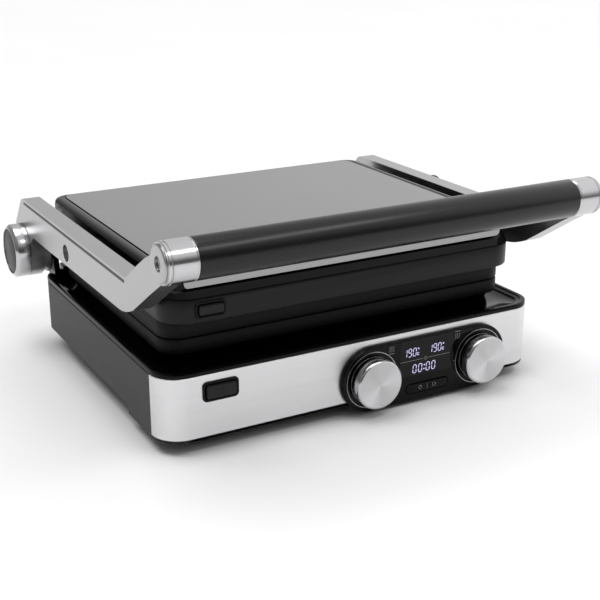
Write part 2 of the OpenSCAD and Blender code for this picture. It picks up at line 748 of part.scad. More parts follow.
// Satin skirt with an inner shelf above and a flange over the plate below
module lid_shell() color("#2c2c2d") difference() {
    slab(z_skirt, z_frame) lid_plan();
    slab(z_skirt + wall, z_frame - wall) lid_plan(wall);
    slab(z_skirt - 1, z_frame + 1) well_plan(-1);
    at_lid_screws() cylinder(h = 2 * z_frame, r = lid_screw_r + fit);
    front_slab(y_lid - 1, y_lid + wall + 1)
        translate([release_x, upper_release_z]) round_box(upper_release_w - 2, upper_release_h - 2, 3);
}

// Gloss frame round the top panel
module lid_frame() color("#0c0c0d") difference() {
    union() {
        slab(z_frame, z_frame + 2.4) lid_plan();
        slab(z_frame + 2.4 - tiny, z_lid - 0.2) lid_plan(0, lid_setback);
    }
    slab(z_frame - 1, z_lid - 3.4) lid_plan(wall, lid_setback + 1);
    slab(z_lid - sheet - 0.05, z_lid + 1)
        outline(panel_top_w + 0.4, y_lid - 1, lid_d - 4.5, 4, 10.2);
}

// Brushed steel panel that bends down into the front lip
module lid_top_panel() color("#a8a8aa") {
    slab(z_lid - sheet, z_lid)
        outline(panel_top_w, y_lid + lid_setback - sheet, lid_d - lid_setback - 5, 4, 10);
    front_slab(y_lid + lid_setback - sheet - tiny, y_lid + lid_setback - tiny)
        translate([-lip_w / 2, z_lid - lip_h]) square([lip_w, lip_h - 0.1]);
}

// Screws that hold the skirt to the frame
module lid_screws() color("#8c8c90") at_lid_screws()
    translate([0, 0, z_frame - wall - 2]) cylinder(h = wall + 2, r = lid_screw_r);

// Bosses on the lid's sides that turn on the pivot screws
module lid_pivot_bosses() color("#1a1a1b") both_sides() difference() {
    bar_x(lid_w / 2, x_arm_in - gap, y_pivot, z_pivot, 9);
    bar_x(lid_w / 2 + 0.6, body_w, y_pivot, z_pivot, screw_r + fit);
}

lower_housing();
bottom_cover();
front_fascia();
fascia_trim();
top_deck();
rubber_feet();
base_screws();
cord_gland();
control_panel();
display_window();
display_board();
power_board();
knob_encoders();
left_knob();
right_knob();
left_knob_shaft();
right_knob_shaft();
start_button();
lower_release_bezel();
lower_release_button();
lower_release_latch();
lower_reflector();
lower_element();
lower_plate();
hinge_post_left();
hinge_post_right();
hinge_pins();
hinge_washers();
hinge_bushes();
hinge_cap_left();
hinge_cap_right();
cap_disc_left();
cap_disc_right();
arm_left();
arm_right();
arm_inlay_left();
arm_inlay_right();
handle_grip();
handle_core();
handle_screws();
pivot_screws();
lock_button();
lid_shell();
lid_frame();
lid_top_panel();
lid_screws();
lid_pivot_bosses();
upper_release_bezel();
upper_release_button();
upper_release_latch();
upper_reflector();
upper_element();
upper_plate();
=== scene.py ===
# %% [markdown]
# # A contact grill, part by part
# This notebook dresses a finished design of a closed contact grill. The design arrives as a frame: named
# solids at their true size, each riding on a body that may swing, turn or slide. Every cell below looks at
# one piece of the grill, says what it is on the real thing, and builds or finishes it in the same place.

# %% Load the frame
import math
import bmesh
import bpy
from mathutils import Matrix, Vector


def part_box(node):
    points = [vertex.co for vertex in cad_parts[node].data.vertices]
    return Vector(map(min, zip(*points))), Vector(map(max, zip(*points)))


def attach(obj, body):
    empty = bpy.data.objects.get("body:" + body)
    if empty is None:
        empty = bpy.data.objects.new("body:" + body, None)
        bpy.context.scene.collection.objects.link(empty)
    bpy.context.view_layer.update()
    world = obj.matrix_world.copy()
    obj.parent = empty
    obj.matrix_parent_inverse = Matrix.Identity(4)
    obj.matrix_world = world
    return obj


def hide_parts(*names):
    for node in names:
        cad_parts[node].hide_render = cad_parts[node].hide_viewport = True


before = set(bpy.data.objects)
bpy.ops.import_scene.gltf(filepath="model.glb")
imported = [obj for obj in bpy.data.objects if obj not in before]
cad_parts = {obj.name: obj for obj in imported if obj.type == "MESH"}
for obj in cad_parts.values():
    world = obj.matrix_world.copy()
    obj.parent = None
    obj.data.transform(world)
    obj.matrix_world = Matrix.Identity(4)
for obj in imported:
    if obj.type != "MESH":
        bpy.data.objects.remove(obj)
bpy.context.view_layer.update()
MM = 0.001

# %% [markdown]
# The camera comes first, because it decides how much detail each piece needs. It stands to the left of the
# grill and a little above it, with a short telephoto lens, so that the front and the left arm both show.

# %% The camera
eye_data = bpy.data.cameras.new("eye")
eye_data.lens = 68.8
eye_data.sensor_width = 36.0
eye = bpy.data.objects.new("eye", eye_data)
bpy.context.scene.collection.objects.link(eye)
eye.location = (-0.4319, -0.8118, 0.3795)
eye.rotation_euler = (math.radians(90.0 - 19.70), 0.0, math.radians(-29.11))
bpy.context.scene.camera = eye
print("camera stands", round(eye.location.length, 2), "m from the middle of the base")

# %% [markdown]
# Sizes are read from the frame and kept in millimetres, which is how a maker thinks of this grill. One
# helper gives a node's box, and the few places that many pieces share get a name here.

# %% Sizes from the frame
def box(node):
    """Lowest and highest corner of a node, in millimetres."""
    low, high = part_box(node)
    return Vector(low) / MM, Vector(high) / MM


deck_low, deck_high = box("top_deck")
plate_low, plate_high = box("lower_plate")
lid_low, lid_high = box("lid_shell")
steel_low, steel_high = box("lid_top_panel")
fascia_low, fascia_high = box("front_fascia")
trim_low, trim_high = box("fascia_trim")
grip_low, grip_high = box("handle_grip")
cap_low, cap_high = box("hinge_cap_right")
post_low, post_high = box("hinge_post_right")
inlay_low, inlay_high = box("arm_inlay_right")
housing_low, housing_high = box("lower_housing")
knob_low, knob_high = box("left_knob")
knob2_low, knob2_high = box("right_knob")
control_low, control_high = box("control_panel")
upper_low = box("upper_plate")[0]

BASE_W = 2 * deck_high.x
FRONT, REAR = deck_low.y, deck_high.y
CORNER = 21.5
GRIP_Y = (grip_low.y + grip_high.y) / 2
GRIP_Z = (grip_low.z + grip_high.z) / 2
GRIP_R = (grip_high.z - grip_low.z) / 2
GRIP_END = grip_high.x
HINGE_Y = (cap_low.y + cap_high.y) / 2
HINGE_Z = (cap_low.z + cap_high.z) / 2
HUB_R = (cap_high.z - cap_low.z) / 2
ARM_OUT = cap_low.x
ARM_IN = post_high.x + 1.5
SEAM_Z = plate_high.z
LID_W = 2 * lid_high.x
LID_TOP = steel_high.z
print(f"base {BASE_W:.0f} mm wide, lid {LID_W:.0f} mm wide, top at {LID_TOP:.1f} mm")

# %% [markdown]
# ## Making meshes
# Nearly every visible piece of the grill is one of three kinds: a stack of rounded outlines (deck, lid,
# plates), an outline pushed straight through (arms, buttons) or a turned profile (knobs, caps, grip).
# Each kind gets one small function. They only collect points and faces, so they can be read at a glance.

# %% Rounded outlines
def rounded_plan(half_w, front, rear, front_r, rear_r, steps=8):
    """Closed loop of (x, y) points round a rectangle with its own front and rear corner radii."""
    corners = [
        (half_w - rear_r, rear - rear_r, rear_r, 0),
        (-half_w + rear_r, rear - rear_r, rear_r, 90),
        (-half_w + front_r, front + front_r, front_r, 180),
        (half_w - front_r, front + front_r, front_r, 270),
    ]
    loop = []
    for cx, cy, r, start in corners:
        for k in range(steps + 1):
            a = math.radians(start + 90 * k / steps)
            loop.append((cx + r * math.cos(a), cy + r * math.sin(a)))
    return loop


def filleted(corners, step_deg=6):
    """Closed outline from corners (u, v, radius), each rounded with an arc of its radius."""
    loop = []
    for k, (u, v, r) in enumerate(corners):
        here = Vector((u, v))
        back = (Vector(corners[k - 1][:2]) - here).normalized()
        on = (Vector(corners[(k + 1) % len(corners)][:2]) - here).normalized()
        half = math.acos(max(-1.0, min(1.0, back.dot(on)))) / 2
        if r <= 0 or abs(half - math.pi / 2) < 0.01:
            loop.append((u, v))
            continue
        centre = here + (back + on).normalized() * (r / math.sin(half))
        first = here + back * (r / math.tan(half)) - centre
        last = here + on * (r / math.tan(half)) - centre
        sweep = first.angle_signed(last)
        count = max(1, round(abs(math.degrees(sweep)) / step_deg))
        for j in range(count + 1):
            a = math.atan2(first.y, first.x) - sweep * j / count
            loop.append((centre.x + r * math.cos(a), centre.y + r * math.sin(a)))
    return loop


def arc(cu, cv, r, start, stop, steps=24):
    """Points of an arc about (cu, cv), from one angle to another in degrees."""
    angles = [math.radians(start + (stop - start) * k / steps) for k in range(steps + 1)]
    return [(cu + r * math.cos(a), cv + r * math.sin(a)) for a in angles]


print("outline of the base has", len(rounded_plan(BASE_W / 2, FRONT, REAR, CORNER, CORNER)), "points")

# %% [markdown]
# A shape is a list of points and a list of faces. Lofting joins rings of equal length. A closed loft goes
# round like a picture frame, which suits a rim or a skirt, and an open one is capped at both ends.

# %% Loft and push through
def loft(rings, closed=False):
    """Faces between rings of (x, y, z) points. A closed loft joins the last ring to the first."""
    count = len(rings[0])
    points = [p for ring in rings for p in ring]
    faces = []
    spans = len(rings) if closed else len(rings) - 1
    for r in range(spans):
        a, b = r * count, ((r + 1) % len(rings)) * count
        for k in range(count):
            j = (k + 1) % count
            faces.append((a + k, a + j, b + j, b + k))
    if not closed:
        faces.append(tuple(reversed(range(count))))
        faces.append(tuple((len(rings) - 1) * count + k for k in range(count)))
    return points, faces


def along(axis, u, v, w):
    """A point from its place along an axis, w, and its other two coordinates in order."""
    return {"x": (w, u, v), "y": (u, w, v), "z": (u, v, w)}[axis]


def pushed(axis, outline, low, high):
    """An outline pushed through along an axis."""
    return loft([[along(axis, u, v, w) for u, v in outline] for w in (low, high)])


print("a pushed square has", len(pushed("z", [(0, 0), (1, 0), (1, 1), (0, 1)], 0, 1)[1]), "faces")

# %% [markdown]
# A turned piece is a profile swept about a centre line. A point of the profile that lies on the line becomes
# one vertex, so a disc closes with triangles and needs no cap. Holes and flat rings are turned too.

# %% Turned pieces, holes and flat rings
def turned(axis, centre, profile, steps=72, closed=False):
    """A profile of (place along the axis, radius) turned about a centre line."""
    points, faces, rows = [], [], []
    for w, r in profile:
        if r < 0.001:
            rows.append([len(points)] * steps)
            points.append(along(axis, centre[0], centre[1], w))
            continue
        rows.append(list(range(len(points), len(points) + steps)))
        for k in range(steps):
            a = 2 * math.pi * k / steps
            points.append(along(axis, centre[0] + r * math.cos(a), centre[1] + r * math.sin(a), w))
    pairs = list(zip(rows, rows[1:] + rows[:1])) if closed else list(zip(rows, rows[1:]))
    for low, high in pairs:
        for k in range(steps):
            j = (k + 1) % steps
            face = []
            for p in (low[k], low[j], high[j], high[k]):
                if p not in face:
                    face.append(p)
            faces.append(tuple(face))
    return points, faces


def drilled(axis, centre, r, start, stop):
    """A plain cylinder from one place along its axis to another, to carve a hole with."""
    return turned(axis, centre, [(start, 0), (start, r), (stop, r), (stop, 0)])


def washer(centre, inner, outer, sheet, steps):
    """A flat ring that faces the front, the sheet being its near and far place along Y."""
    near, far = sheet
    return turned("y", centre, [(far, inner), (near, inner), (near, outer), (far, outer)], steps, closed=True)


print("a turned ring has", len(turned("x", (0, 0), [(0, 1), (1, 1)])[1]), "faces")

# %% [markdown]
# Several shapes can be one mesh, such as all the digits. The grill is nearly the same on both sides, so a
# piece for the left is the right one's mirror image, with its faces turned back to look outwards.

# %% Shapes together and mirrored
def together(*shapes):
    """Several shapes as one."""
    points, faces = [], []
    for more_points, more_faces in shapes:
        faces += [tuple(len(points) + k for k in f) for f in more_faces]
        points += more_points
    return points, faces


def flipped_x(shape):
    """The mirror image of a shape, on the other side of the grill."""
    points, faces = shape
    return [(-x, y, z) for x, y, z in points], [tuple(reversed(f)) for f in faces]


print("a mirrored point:", flipped_x(([(1, 2, 3)], []))[0][0])

# %% [markdown]
# A piece is a shape with a finish that rides on a body. Real edges are never perfectly sharp: a narrow
# bevel catches a thin line of light, and that line is most of what makes a machined edge look real.

# %% Pieces
def shape_mesh(name, shape):
    """A Blender mesh from a shape in millimetres, with its faces turned outwards."""
    mesh = bpy.data.meshes.new(name)
    mesh.from_pydata([[c * MM for c in p] for p in shape[0]], [], shape[1])
    work = bmesh.new()
    work.from_mesh(mesh)
    bmesh.ops.remove_doubles(work, verts=work.verts, dist=1e-7)
    bmesh.ops.recalc_face_normals(work, faces=work.faces)
    work.to_mesh(mesh)
    work.free()
    return mesh


def carve(target, *cutters):
    """Takes shapes out of an object's mesh for good."""
    for k, cutter in enumerate(cutters):
        tool = bpy.data.objects.new("cutter", shape_mesh("cutter", cutter))
        bpy.context.scene.collection.objects.link(tool)
        cut = target.modifiers.new("cut", "BOOLEAN")
        cut.object = tool
        cut.solver = "EXACT"
        depsgraph = bpy.context.evaluated_depsgraph_get()
        mesh = bpy.data.meshes.new_from_object(target.evaluated_get(depsgraph))
        target.modifiers.remove(cut)
        target.data = mesh
        bpy.data.objects.remove(tool)


def piece(name, shape, finish, body, bevel=0.0, cuts=(), replaces=(), segments=2):
    """An object from a shape, with its finish, bevelled edges, its body and the nodes it stands for."""
    obj = bpy.data.objects.new(name, shape_mesh(name, shape))
    bpy.context.scene.collection.objects.link(obj)
    carve(obj, *cuts)
    obj.data.materials.clear()
    obj.data.materials.append(finish)
    obj.data.set_sharp_from_angle(angle=math.radians(32))
    for face in obj.data.polygons:
        face.use_smooth = True
    if bevel:
        soft = obj.modifiers.new("edges", "BEVEL")
        soft.width = bevel * MM
        soft.segments = segments
        soft.limit_method = "ANGLE"
        soft.angle_limit = math.radians(32)
        soft.harden_normals = True
        soft.use_clamp_overlap = True
    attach(obj, body)
    if replaces:
        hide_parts(*replaces)
    return obj


# %% [markdown]
# ## Writing shaders as sums
# A finish is a small sum: a base tone, plus some grain, minus some wear. The class below wraps the output
# of a node, so that such a sum can be written as one line of Python. Each operator adds a Math node.

# %% Sockets that can be added and multiplied
class Value:
    """One output of a node, on which Python's operators work."""

    def __init__(self, tree, socket):
        self.tree = tree
        self.socket = socket

    def math(self, operation, first, second):
        return add_node(self.tree, "ShaderNodeMath", {"operation": operation}, {0: first, 1: second})

    def __add__(self, other):
        return self.math("ADD", self, other)

    def __sub__(self, other):
        return self.math("SUBTRACT", self, other)

    def __rsub__(self, other):
        return self.math("SUBTRACT", other, self)

    def __mul__(self, other):
        return self.math("MULTIPLY", self, other)

    def __pow__(self, other):
        return self.math("POWER", self, other)

    __radd__ = __add__
    __rmul__ = __mul__


def add_node(tree, kind, settings=None, sockets=None, output=0):
    """Adds any node: its settings first, then the values or links of its sockets."""
    node = tree.nodes.new(kind)
    for name, value in (settings or {}).items():
        setattr(node, name, value)
    for name, value in (sockets or {}).items():
        if isinstance(value, Value):
            tree.links.new(value.socket, node.inputs[name])
        else:
            node.inputs[name].default_value = value
    return Value(tree, node.outputs[output])


print("a value knows", len([name for name in vars(Value) if name.startswith("__r")]), "reflected operators")

# %% [markdown]
# A finish is a material with one Principled shader. A number that is the same all over the piece is set on
# the shader's own socket, and only what changes over the surface is linked to it.

# %% A finish
class Finish:
    """A material whose surface is one Principled shader."""

    def __init__(self, name, **constants):
        self.material = bpy.data.materials.new(name)
        self.material.use_nodes = True
        self.tree = self.material.node_tree
        self.shader = self.tree.nodes["Principled BSDF"]
        self.place = self.add("ShaderNodeTexCoord", output="Object")
        for socket, value in constants.items():
            self.shader.inputs[socket.replace("_", " ")].default_value = value

    def add(self, kind, settings=None, sockets=None, output=0):
        return add_node(self.tree, kind, settings, sockets, output)

    def noise(self, scale, detail=3.0, rough=0.5, stretch=(1, 1, 1)):
        """Noise over the object, with its size in millimetres and a stretch along each axis."""
        squeezed = self.add("ShaderNodeMapping", None, {"Vector": self.place, "Scale": stretch})
        wanted = {"Vector": squeezed, "Scale": 1000.0 / scale, "Detail": detail, "Roughness": rough}
        return self.add("ShaderNodeTexNoise", None, wanted)

    def feed(self, socket, value):
        self.tree.links.new(value.socket, self.shader.inputs[socket])

    def tint(self, mask, dark, light):
        """A colour between two tones by a mask."""
        mixed = {0: mask, 6: (*dark, 1.0), 7: (*light, 1.0)}
        return self.add("ShaderNodeMix", {"data_type": "RGBA"}, mixed, 2)

    def relief(self, height, depth, strength=1.0):
        """Bumps of a height, depth being their size in millimetres."""
        wanted = {"Height": height, "Distance": depth * MM, "Strength": strength}
        self.feed("Normal", self.add("ShaderNodeBump", None, wanted))


print("shader helpers ready")

# %% [markdown]
# ### Plastics
# Moulded black plastic is not one black. Gloss parts come from a mirror-polished mould, with slow waves in
# the surface and a little dust. Satin parts come from a sparked mould, with a fine even grain. The grain is
# made with bump, because each bump is far smaller than anything that a mesh could hold.

# %% Plastic finishes
def moulded(name, tone, rough, grain_mm, grain_depth, spread=0.06, shine=0.35):
    f = Finish(name, Specular_IOR_Level=shine)
    grain = f.noise(grain_mm, 4.0, 0.6)
    wide = f.noise(38.0, 2.0, 0.5)
    f.feed("Base Color", f.tint(wide, [c * 0.88 for c in tone], [min(1, c * 1.14) for c in tone]))
    f.feed("Roughness", wide * spread + grain * spread + (rough - spread))
    f.relief(grain, grain_depth)
    return f.material


gloss_black = moulded("gloss_black", (0.0016, 0.0016, 0.0017), 0.09, 9.0, 0.004, 0.03, 0.14)
satin_black = moulded("satin_black", (0.0036, 0.0036, 0.0038), 0.36, 0.5, 0.016, 0.06, 0.24)
button_black = moulded("button_black", (0.005, 0.005, 0.0052), 0.34, 0.45, 0.012, 0.06, 0.28)
housing_grey = moulded("housing_grey", (0.040, 0.040, 0.041), 0.55, 0.6, 0.025)
grip_black = moulded("grip_black", (0.005, 0.005, 0.0053), 0.27, 0.5, 0.012, 0.06, 0.36)
foot_rubber = moulded("foot_rubber", (0.018, 0.018, 0.018), 0.72, 0.8, 0.05)
inlay_grey = moulded("inlay_grey", (0.03, 0.03, 0.031), 0.42, 0.5, 0.014)
board_green = moulded("board_green", (0.01, 0.09, 0.035), 0.38, 1.2, 0.02)
print("plastics done")

# %% [markdown]
# ### Metals
# Brushed sheet has long hairlines in one direction. Noise stretched a hundred times along the brushing
# gives them, and a very shallow bump spreads the reflections across the lines. Castings have no direction,
# only a fine grain and slow patches.

# %% Brushed and cast metal
def brushed(name, tone, rough, lines=(0.012, 1, 1), depth=0.0022, spread=0.10, hair=0.35):
    f = Finish(name, Metallic=1.0)
    hairs = f.noise(hair, 3.0, 0.65, lines)
    broad = f.noise(6.0, 2.0, 0.5, lines)
    smudge = f.noise(55.0, 3.0, 0.5)
    lines_seen = hairs * 0.6 + broad * 0.4
    f.feed("Base Color", f.tint(lines_seen, [c * 0.90 for c in tone], [c * 1.08 for c in tone]))
    f.feed("Roughness", hairs * spread + smudge * 0.06 + (rough - spread / 2))
    f.relief(hairs * 0.7 + broad * 0.3, depth)
    return f.material


def cast(name, tone, rough, grain_mm, depth, spread=0.08):
    f = Finish(name, Metallic=1.0)
    grain = f.noise(grain_mm, 4.0, 0.6)
    broad = f.noise(26.0, 2.0, 0.5)
    f.feed("Base Color", f.tint(broad, [c * 0.94 for c in tone], [c * 1.05 for c in tone]))
    f.feed("Roughness", grain * spread + broad * 0.05 + (rough - spread / 2))
    f.relief(grain, depth)
    return f.material


print("sheet and castings ready")

# %% [markdown]
# Spun faces are brushed in circles, so their hairlines are rings round the centre. Under a lamp such rings
# show a fan of light and dark. Here the fan is painted highlight and painted shade, laid into the base tone
# by the angle round the centre, so it turns with the piece and can be baked. A few sine waves of different
# counts and shares make it uneven.

# %% Spun metal
# Waves of the painted highlight and shade: count round the centre, start angle and share of each wave.
PAINTED_FAN_WAVES = ((2, 0.6, 0.26), (3, 1.9, 0.12), (5, 0.3, 0.08))


def spun(name, centre, tone, rough, pitch=0.42):
    """Metal brushed in rings about a centre line along Y, with a painted fan of highlight and shade round it.
    """
    f = Finish(name, Metallic=1.0)
    x = f.add("ShaderNodeSeparateXYZ", None, {0: f.place})
    z = Value(f.tree, x.socket.node.outputs[2])
    across, up = x - centre[0] * MM, z - centre[1] * MM
    radius = (across * across + up * up) ** 0.5
    ring = f.add("ShaderNodeCombineXYZ", None, {0: radius})
    hairs = f.add("ShaderNodeTexNoise", None, {"Vector": ring, "Scale": 1000.0 / pitch, "Detail": 3.0})
    turn = f.add("ShaderNodeMath", {"operation": "ARCTAN2"}, {0: up, 1: across})
    # Painted highlight and painted shade: the fan of a spun face, built from the angle round the centre.
    painted_fan = 0.5
    for count, start, share in PAINTED_FAN_WAVES:
        painted_fan = painted_fan + f.add("ShaderNodeMath", {"operation": "SINE"}, {0: turn * count + start}) * share
    # The base colour mixes the painted fan of highlight and shade with the real hairlines.
    f.feed("Base Color", f.tint(painted_fan * 0.8 + hairs * 0.2, [c * 0.70 for c in tone], [c * 1.18 for c in tone]))
    f.feed("Roughness", hairs * 0.10 + (rough - 0.05))
    f.relief(hairs, 0.030)
    return f.material


print(len(PAINTED_FAN_WAVES), "waves make the fan")

# %% [markdown]
# Each metal of the grill is one line: its tone, its roughness and the size of its lines or grain. The two
# knobs need a finish each, because their rings are centred on different places.

# %% The metals of the grill
KNOB_Z = (knob_low.z + knob_high.z) / 2
KNOB_R = (knob_high.z - knob_low.z) / 2
LEFT_X = (knob_low.x + knob_high.x) / 2
RIGHT_X = (knob2_low.x + knob2_high.x) / 2
fascia_steel = brushed("fascia_steel", (0.72, 0.72, 0.73), 0.30)
# The lid's top is the same brushed steel as the front, given a darker tone: painted shade.
shaded_lid_steel = brushed("shaded_lid_steel", (0.34, 0.34, 0.343), 0.30, depth=0.0015)
tray_steel = brushed("tray_steel", (0.62, 0.61, 0.60), 0.30)
arm_metal = cast("arm_metal", (0.44, 0.44, 0.445), 0.28, 1.1, 0.010)
polished = brushed("polished", (0.56, 0.56, 0.57), 0.15, (1, 0.02, 0.02), 0.004, 0.06, 0.6)
zinc = cast("zinc", (0.50, 0.50, 0.51), 0.38, 1.5, 0.015)
brass = cast("brass", (0.72, 0.52, 0.24), 0.32, 1.5, 0.010)
sheath = cast("sheath", (0.22, 0.19, 0.17), 0.48, 1.2, 0.020)
cap_disc_metal = cast("cap_disc_metal", (0.034, 0.034, 0.035), 0.40, 1.0, 0.008)
left_spun = spun("left_spun", (LEFT_X, KNOB_Z), (0.60, 0.60, 0.61), 0.20)
right_spun = spun("right_spun", (RIGHT_X, KNOB_Z), (0.60, 0.60, 0.61), 0.20)
print("metals done")

# %% [markdown]
# ### Coat, window, light and print
# The plates wear a thick non-stick coat that is lumpy like orange peel. The window is dark glass. Digits
# glow a pale violet, and the marks beside them are printed in grey.

# %% Other finishes
def nonstick_coat():
    f = Finish("nonstick_coat", Specular_IOR_Level=0.2)
    lumps = f.noise(2.6, 3.0, 0.55)
    fine = f.noise(0.7, 2.0, 0.5)
    f.feed("Base Color", f.tint(lumps, (0.0015, 0.0015, 0.0015), (0.005, 0.005, 0.0053)))
    f.feed("Roughness", lumps * 0.16 + fine * 0.08 + 0.42)
    f.relief(lumps * 0.8 + fine * 0.2, 0.35)
    return f.material


def dark_window():
    f = Finish("dark_window", Specular_IOR_Level=0.2)
    haze = f.noise(30.0, 2.0, 0.5)
    f.feed("Base Color", f.tint(haze, (0.0022, 0.0022, 0.003), (0.003, 0.003, 0.004)))
    f.feed("Roughness", haze * 0.03 + 0.07)
    return f.material


def glow(name, tone, strength):
    f = Finish(name, Emission_Strength=strength)
    cells = f.noise(0.9, 2.0, 0.5)
    f.feed("Emission Color", f.tint(cells, [c * 0.9 for c in tone], tone))
    f.feed("Base Color", f.tint(cells, (0.2, 0.2, 0.22), (0.3, 0.3, 0.33)))
    return f.material


def print_ink(name, tone):
    f = Finish(name)
    cells = f.noise(0.6, 2.0, 0.5)
    f.feed("Base Color", f.tint(cells, [c * 0.85 for c in tone], tone))
    f.feed("Roughness", cells * 0.1 + 0.4)
    return f.material


nonstick = nonstick_coat()
window_glass = dark_window()
digit_light = glow("digit_light", (0.66, 0.60, 0.98), 0.95)
ink_grey = print_ink("ink_grey", (0.22, 0.22, 0.23))
print(len(bpy.data.materials), "materials in all")

# %% [markdown]
# ## The base
# The base is a dark moulded tub. Its front wears a sheet of brushed steel that wraps round both front
# corners, over a thin black trim. The sheet is lofted as a band that follows the base's outline, so the
# corner reflects light in one smooth sweep.

# %% Fascia and trim
SIDE_END = fascia_high.y
BEZEL_LOW, BEZEL_HIGH = box("lower_release_bezel")


def front_band(inset, z, end=SIDE_END, steps=12):
    """The base's outline from its left side round the front to its right side, as a chain of points."""
    half, r = BASE_W / 2 - inset, CORNER - inset
    chain = [(-half, end, z)]
    chain += [(x, y, z) for x, y in arc(-half + r, FRONT + inset + r, r, 180, 270, steps)]
    chain += [(x, y, z) for x, y in arc(half - r, FRONT + inset + r, r, 270, 360, steps)]
    return chain + [(half, end, z)]


def band(profile, **where):
    """A closed strip along the front band, from a profile of (inset, z)."""
    rings = list(zip(*[front_band(inset, z, **where) for inset, z in profile]))
    return loft([list(ring) for ring in rings])


steel_z0, steel_z1 = fascia_low.z, fascia_high.z - 0.5
sheet_profile = [(0.0, steel_z0 + 0.3), (0.0, steel_z1 - 0.4), (0.35, steel_z1), (1.0, steel_z1),
                 (1.0, steel_z0)]
trim_profile = [(0.5, trim_low.z), (0.15, trim_low.z + 0.5), (0.15, trim_high.z - 0.2), (1.0, trim_high.z),
                (1.4, trim_low.z)]
hole = rounded_plan(BEZEL_HIGH.x / 2 - BEZEL_LOW.x / 2 - 1.2, BEZEL_LOW.z + 1.2, BEZEL_HIGH.z - 1.2, 2.8, 2.8)
RELEASE_X = (BEZEL_LOW.x + BEZEL_HIGH.x) / 2
release_hole = pushed("y", [(RELEASE_X + u, v) for u, v in hole], FRONT - 3, FRONT + 5)
piece("fascia_sheet", band(sheet_profile), fascia_steel, "base", 0.0,
      cuts=[release_hole], replaces=["front_fascia"])
piece("trim_strip", band(trim_profile), satin_black, "base", 0.0, replaces=["fascia_trim"])
print(f"steel from {steel_z0:.1f} to {steel_z1:.1f} mm")

# %% [markdown]
# The moulded tub shows at both sides and at the rear. Its lower edge steps up behind the front feet, and a
# shallow groove runs under the deck. A pushed-through outline would lose the rounded rear corners, so it
# is lofted along the outline too. The step, the cord's hole and the recess of the release are carved out.

# %% Tub
def ring(half_w, front, rear, front_r, rear_r, z, steps=8):
    return [(x, y, z) for x, y in rounded_plan(half_w, front, rear, front_r, rear_r, steps)]


def base_ring(inset, z, steps=8):
    r = CORNER - inset
    return ring(BASE_W / 2 - inset, FRONT + inset, REAR - inset, r, r, z, steps)


tub_z0, tub_z1 = housing_low.z, housing_high.z
STEP_Y, STEP_Z = FRONT + 66.0, tub_z0 + 6.8
tub_rings = [base_ring(0.7, tub_z0), base_ring(0.15, tub_z0 + 0.6), base_ring(0.15, tub_z1 - 1.6),
             base_ring(0.9, tub_z1 - 1.2), base_ring(0.9, tub_z1), base_ring(3.3, tub_z1),
             base_ring(3.3, tub_z0)]
step_side = [(STEP_Y, tub_z0 - 5), (STEP_Y + 2, STEP_Z), (REAR + 5, STEP_Z), (REAR + 5, tub_z0 - 5)]
under_step = pushed("x", step_side, -BASE_W, BASE_W)
gland_low, gland_high = box("cord_gland")
gland_c = ((gland_low.x + gland_high.x) / 2, (gland_low.z + gland_high.z) / 2)
gland_hole = drilled("y", gland_c, 8.0, REAR - 9, REAR + 2)
tub = piece("tub_walls", loft(tub_rings, closed=True), housing_grey, "base", 0.0,
            cuts=[under_step, gland_hole, release_hole], replaces=["lower_housing"])
print("tub has", len(tub.data.polygons), "faces")

# %% [markdown]
# The deck is one gloss moulding: a rim that stands a little proud of the steel, a channel that catches
# fat, and a plinth that flares up to carry the lower plate. Seen in section it is a chain of short steps,
# and each step is one ring of the loft, so every line that light draws round the deck is real geometry.

# %% Deck
PLATE_HALF = plate_high.x
PLATE_FRONT, PLATE_REAR = plate_low.y, plate_high.y
PLATE_Z0 = box("lower_plate")[1].z - 11.6


def plate_ring(inset, z, steps=8):
    r = max(4.0, 17.0 - inset / 2)
    return ring(PLATE_HALF - inset, PLATE_FRONT + inset, PLATE_REAR - inset, r, r, z, steps)


rim_z = deck_low.z + 3.4
channel_z = deck_low.z + 0.3
deck_rings = [base_ring(0.6, deck_low.z - 0.4), base_ring(0.0, deck_low.z + 0.2), base_ring(0.0, rim_z - 1.1),
              base_ring(0.35, rim_z - 0.3), base_ring(1.2, rim_z), base_ring(3.4, rim_z),
              base_ring(4.1, rim_z - 0.35), base_ring(4.5, rim_z - 1.1), base_ring(6.6, rim_z - 1.5),
              base_ring(7.6, rim_z - 1.8), base_ring(8.2, channel_z + 0.5), base_ring(9.2, channel_z),
              plate_ring(8.0, channel_z), plate_ring(6.6, channel_z + 0.7), plate_ring(5.2, PLATE_Z0 - 2.6),
              plate_ring(3.0, PLATE_Z0 - 0.4), plate_ring(3.4, PLATE_Z0), plate_ring(13.0, PLATE_Z0),
              plate_ring(13.0, deck_low.z), base_ring(3.0, deck_low.z)]
piece("deck_moulding", loft(deck_rings, closed=True), gloss_black, "base",
      replaces=["top_deck"])
ledge = rounded_plan(post_low.x - 6, REAR - 15, REAR - 2, 2, 2)
piece("rear_ledge", pushed("z", ledge, channel_z, deck_high.z), gloss_black, "base", 0.8)
print(f"rim top at {rim_z:.1f} mm")

# %% [markdown]
# ## The grill plates
# Both plates are cast, with a rim all round and ridges that run front to back. The coat rounds every edge,
# so the rims get generous arcs. The ridges only show when the grill is opened, but then they are all that
# anyone looks at, so each is a full tapered bar with its own bevel.

# %% Plates
RIDGES = 20
RIDGE_H = 3.0


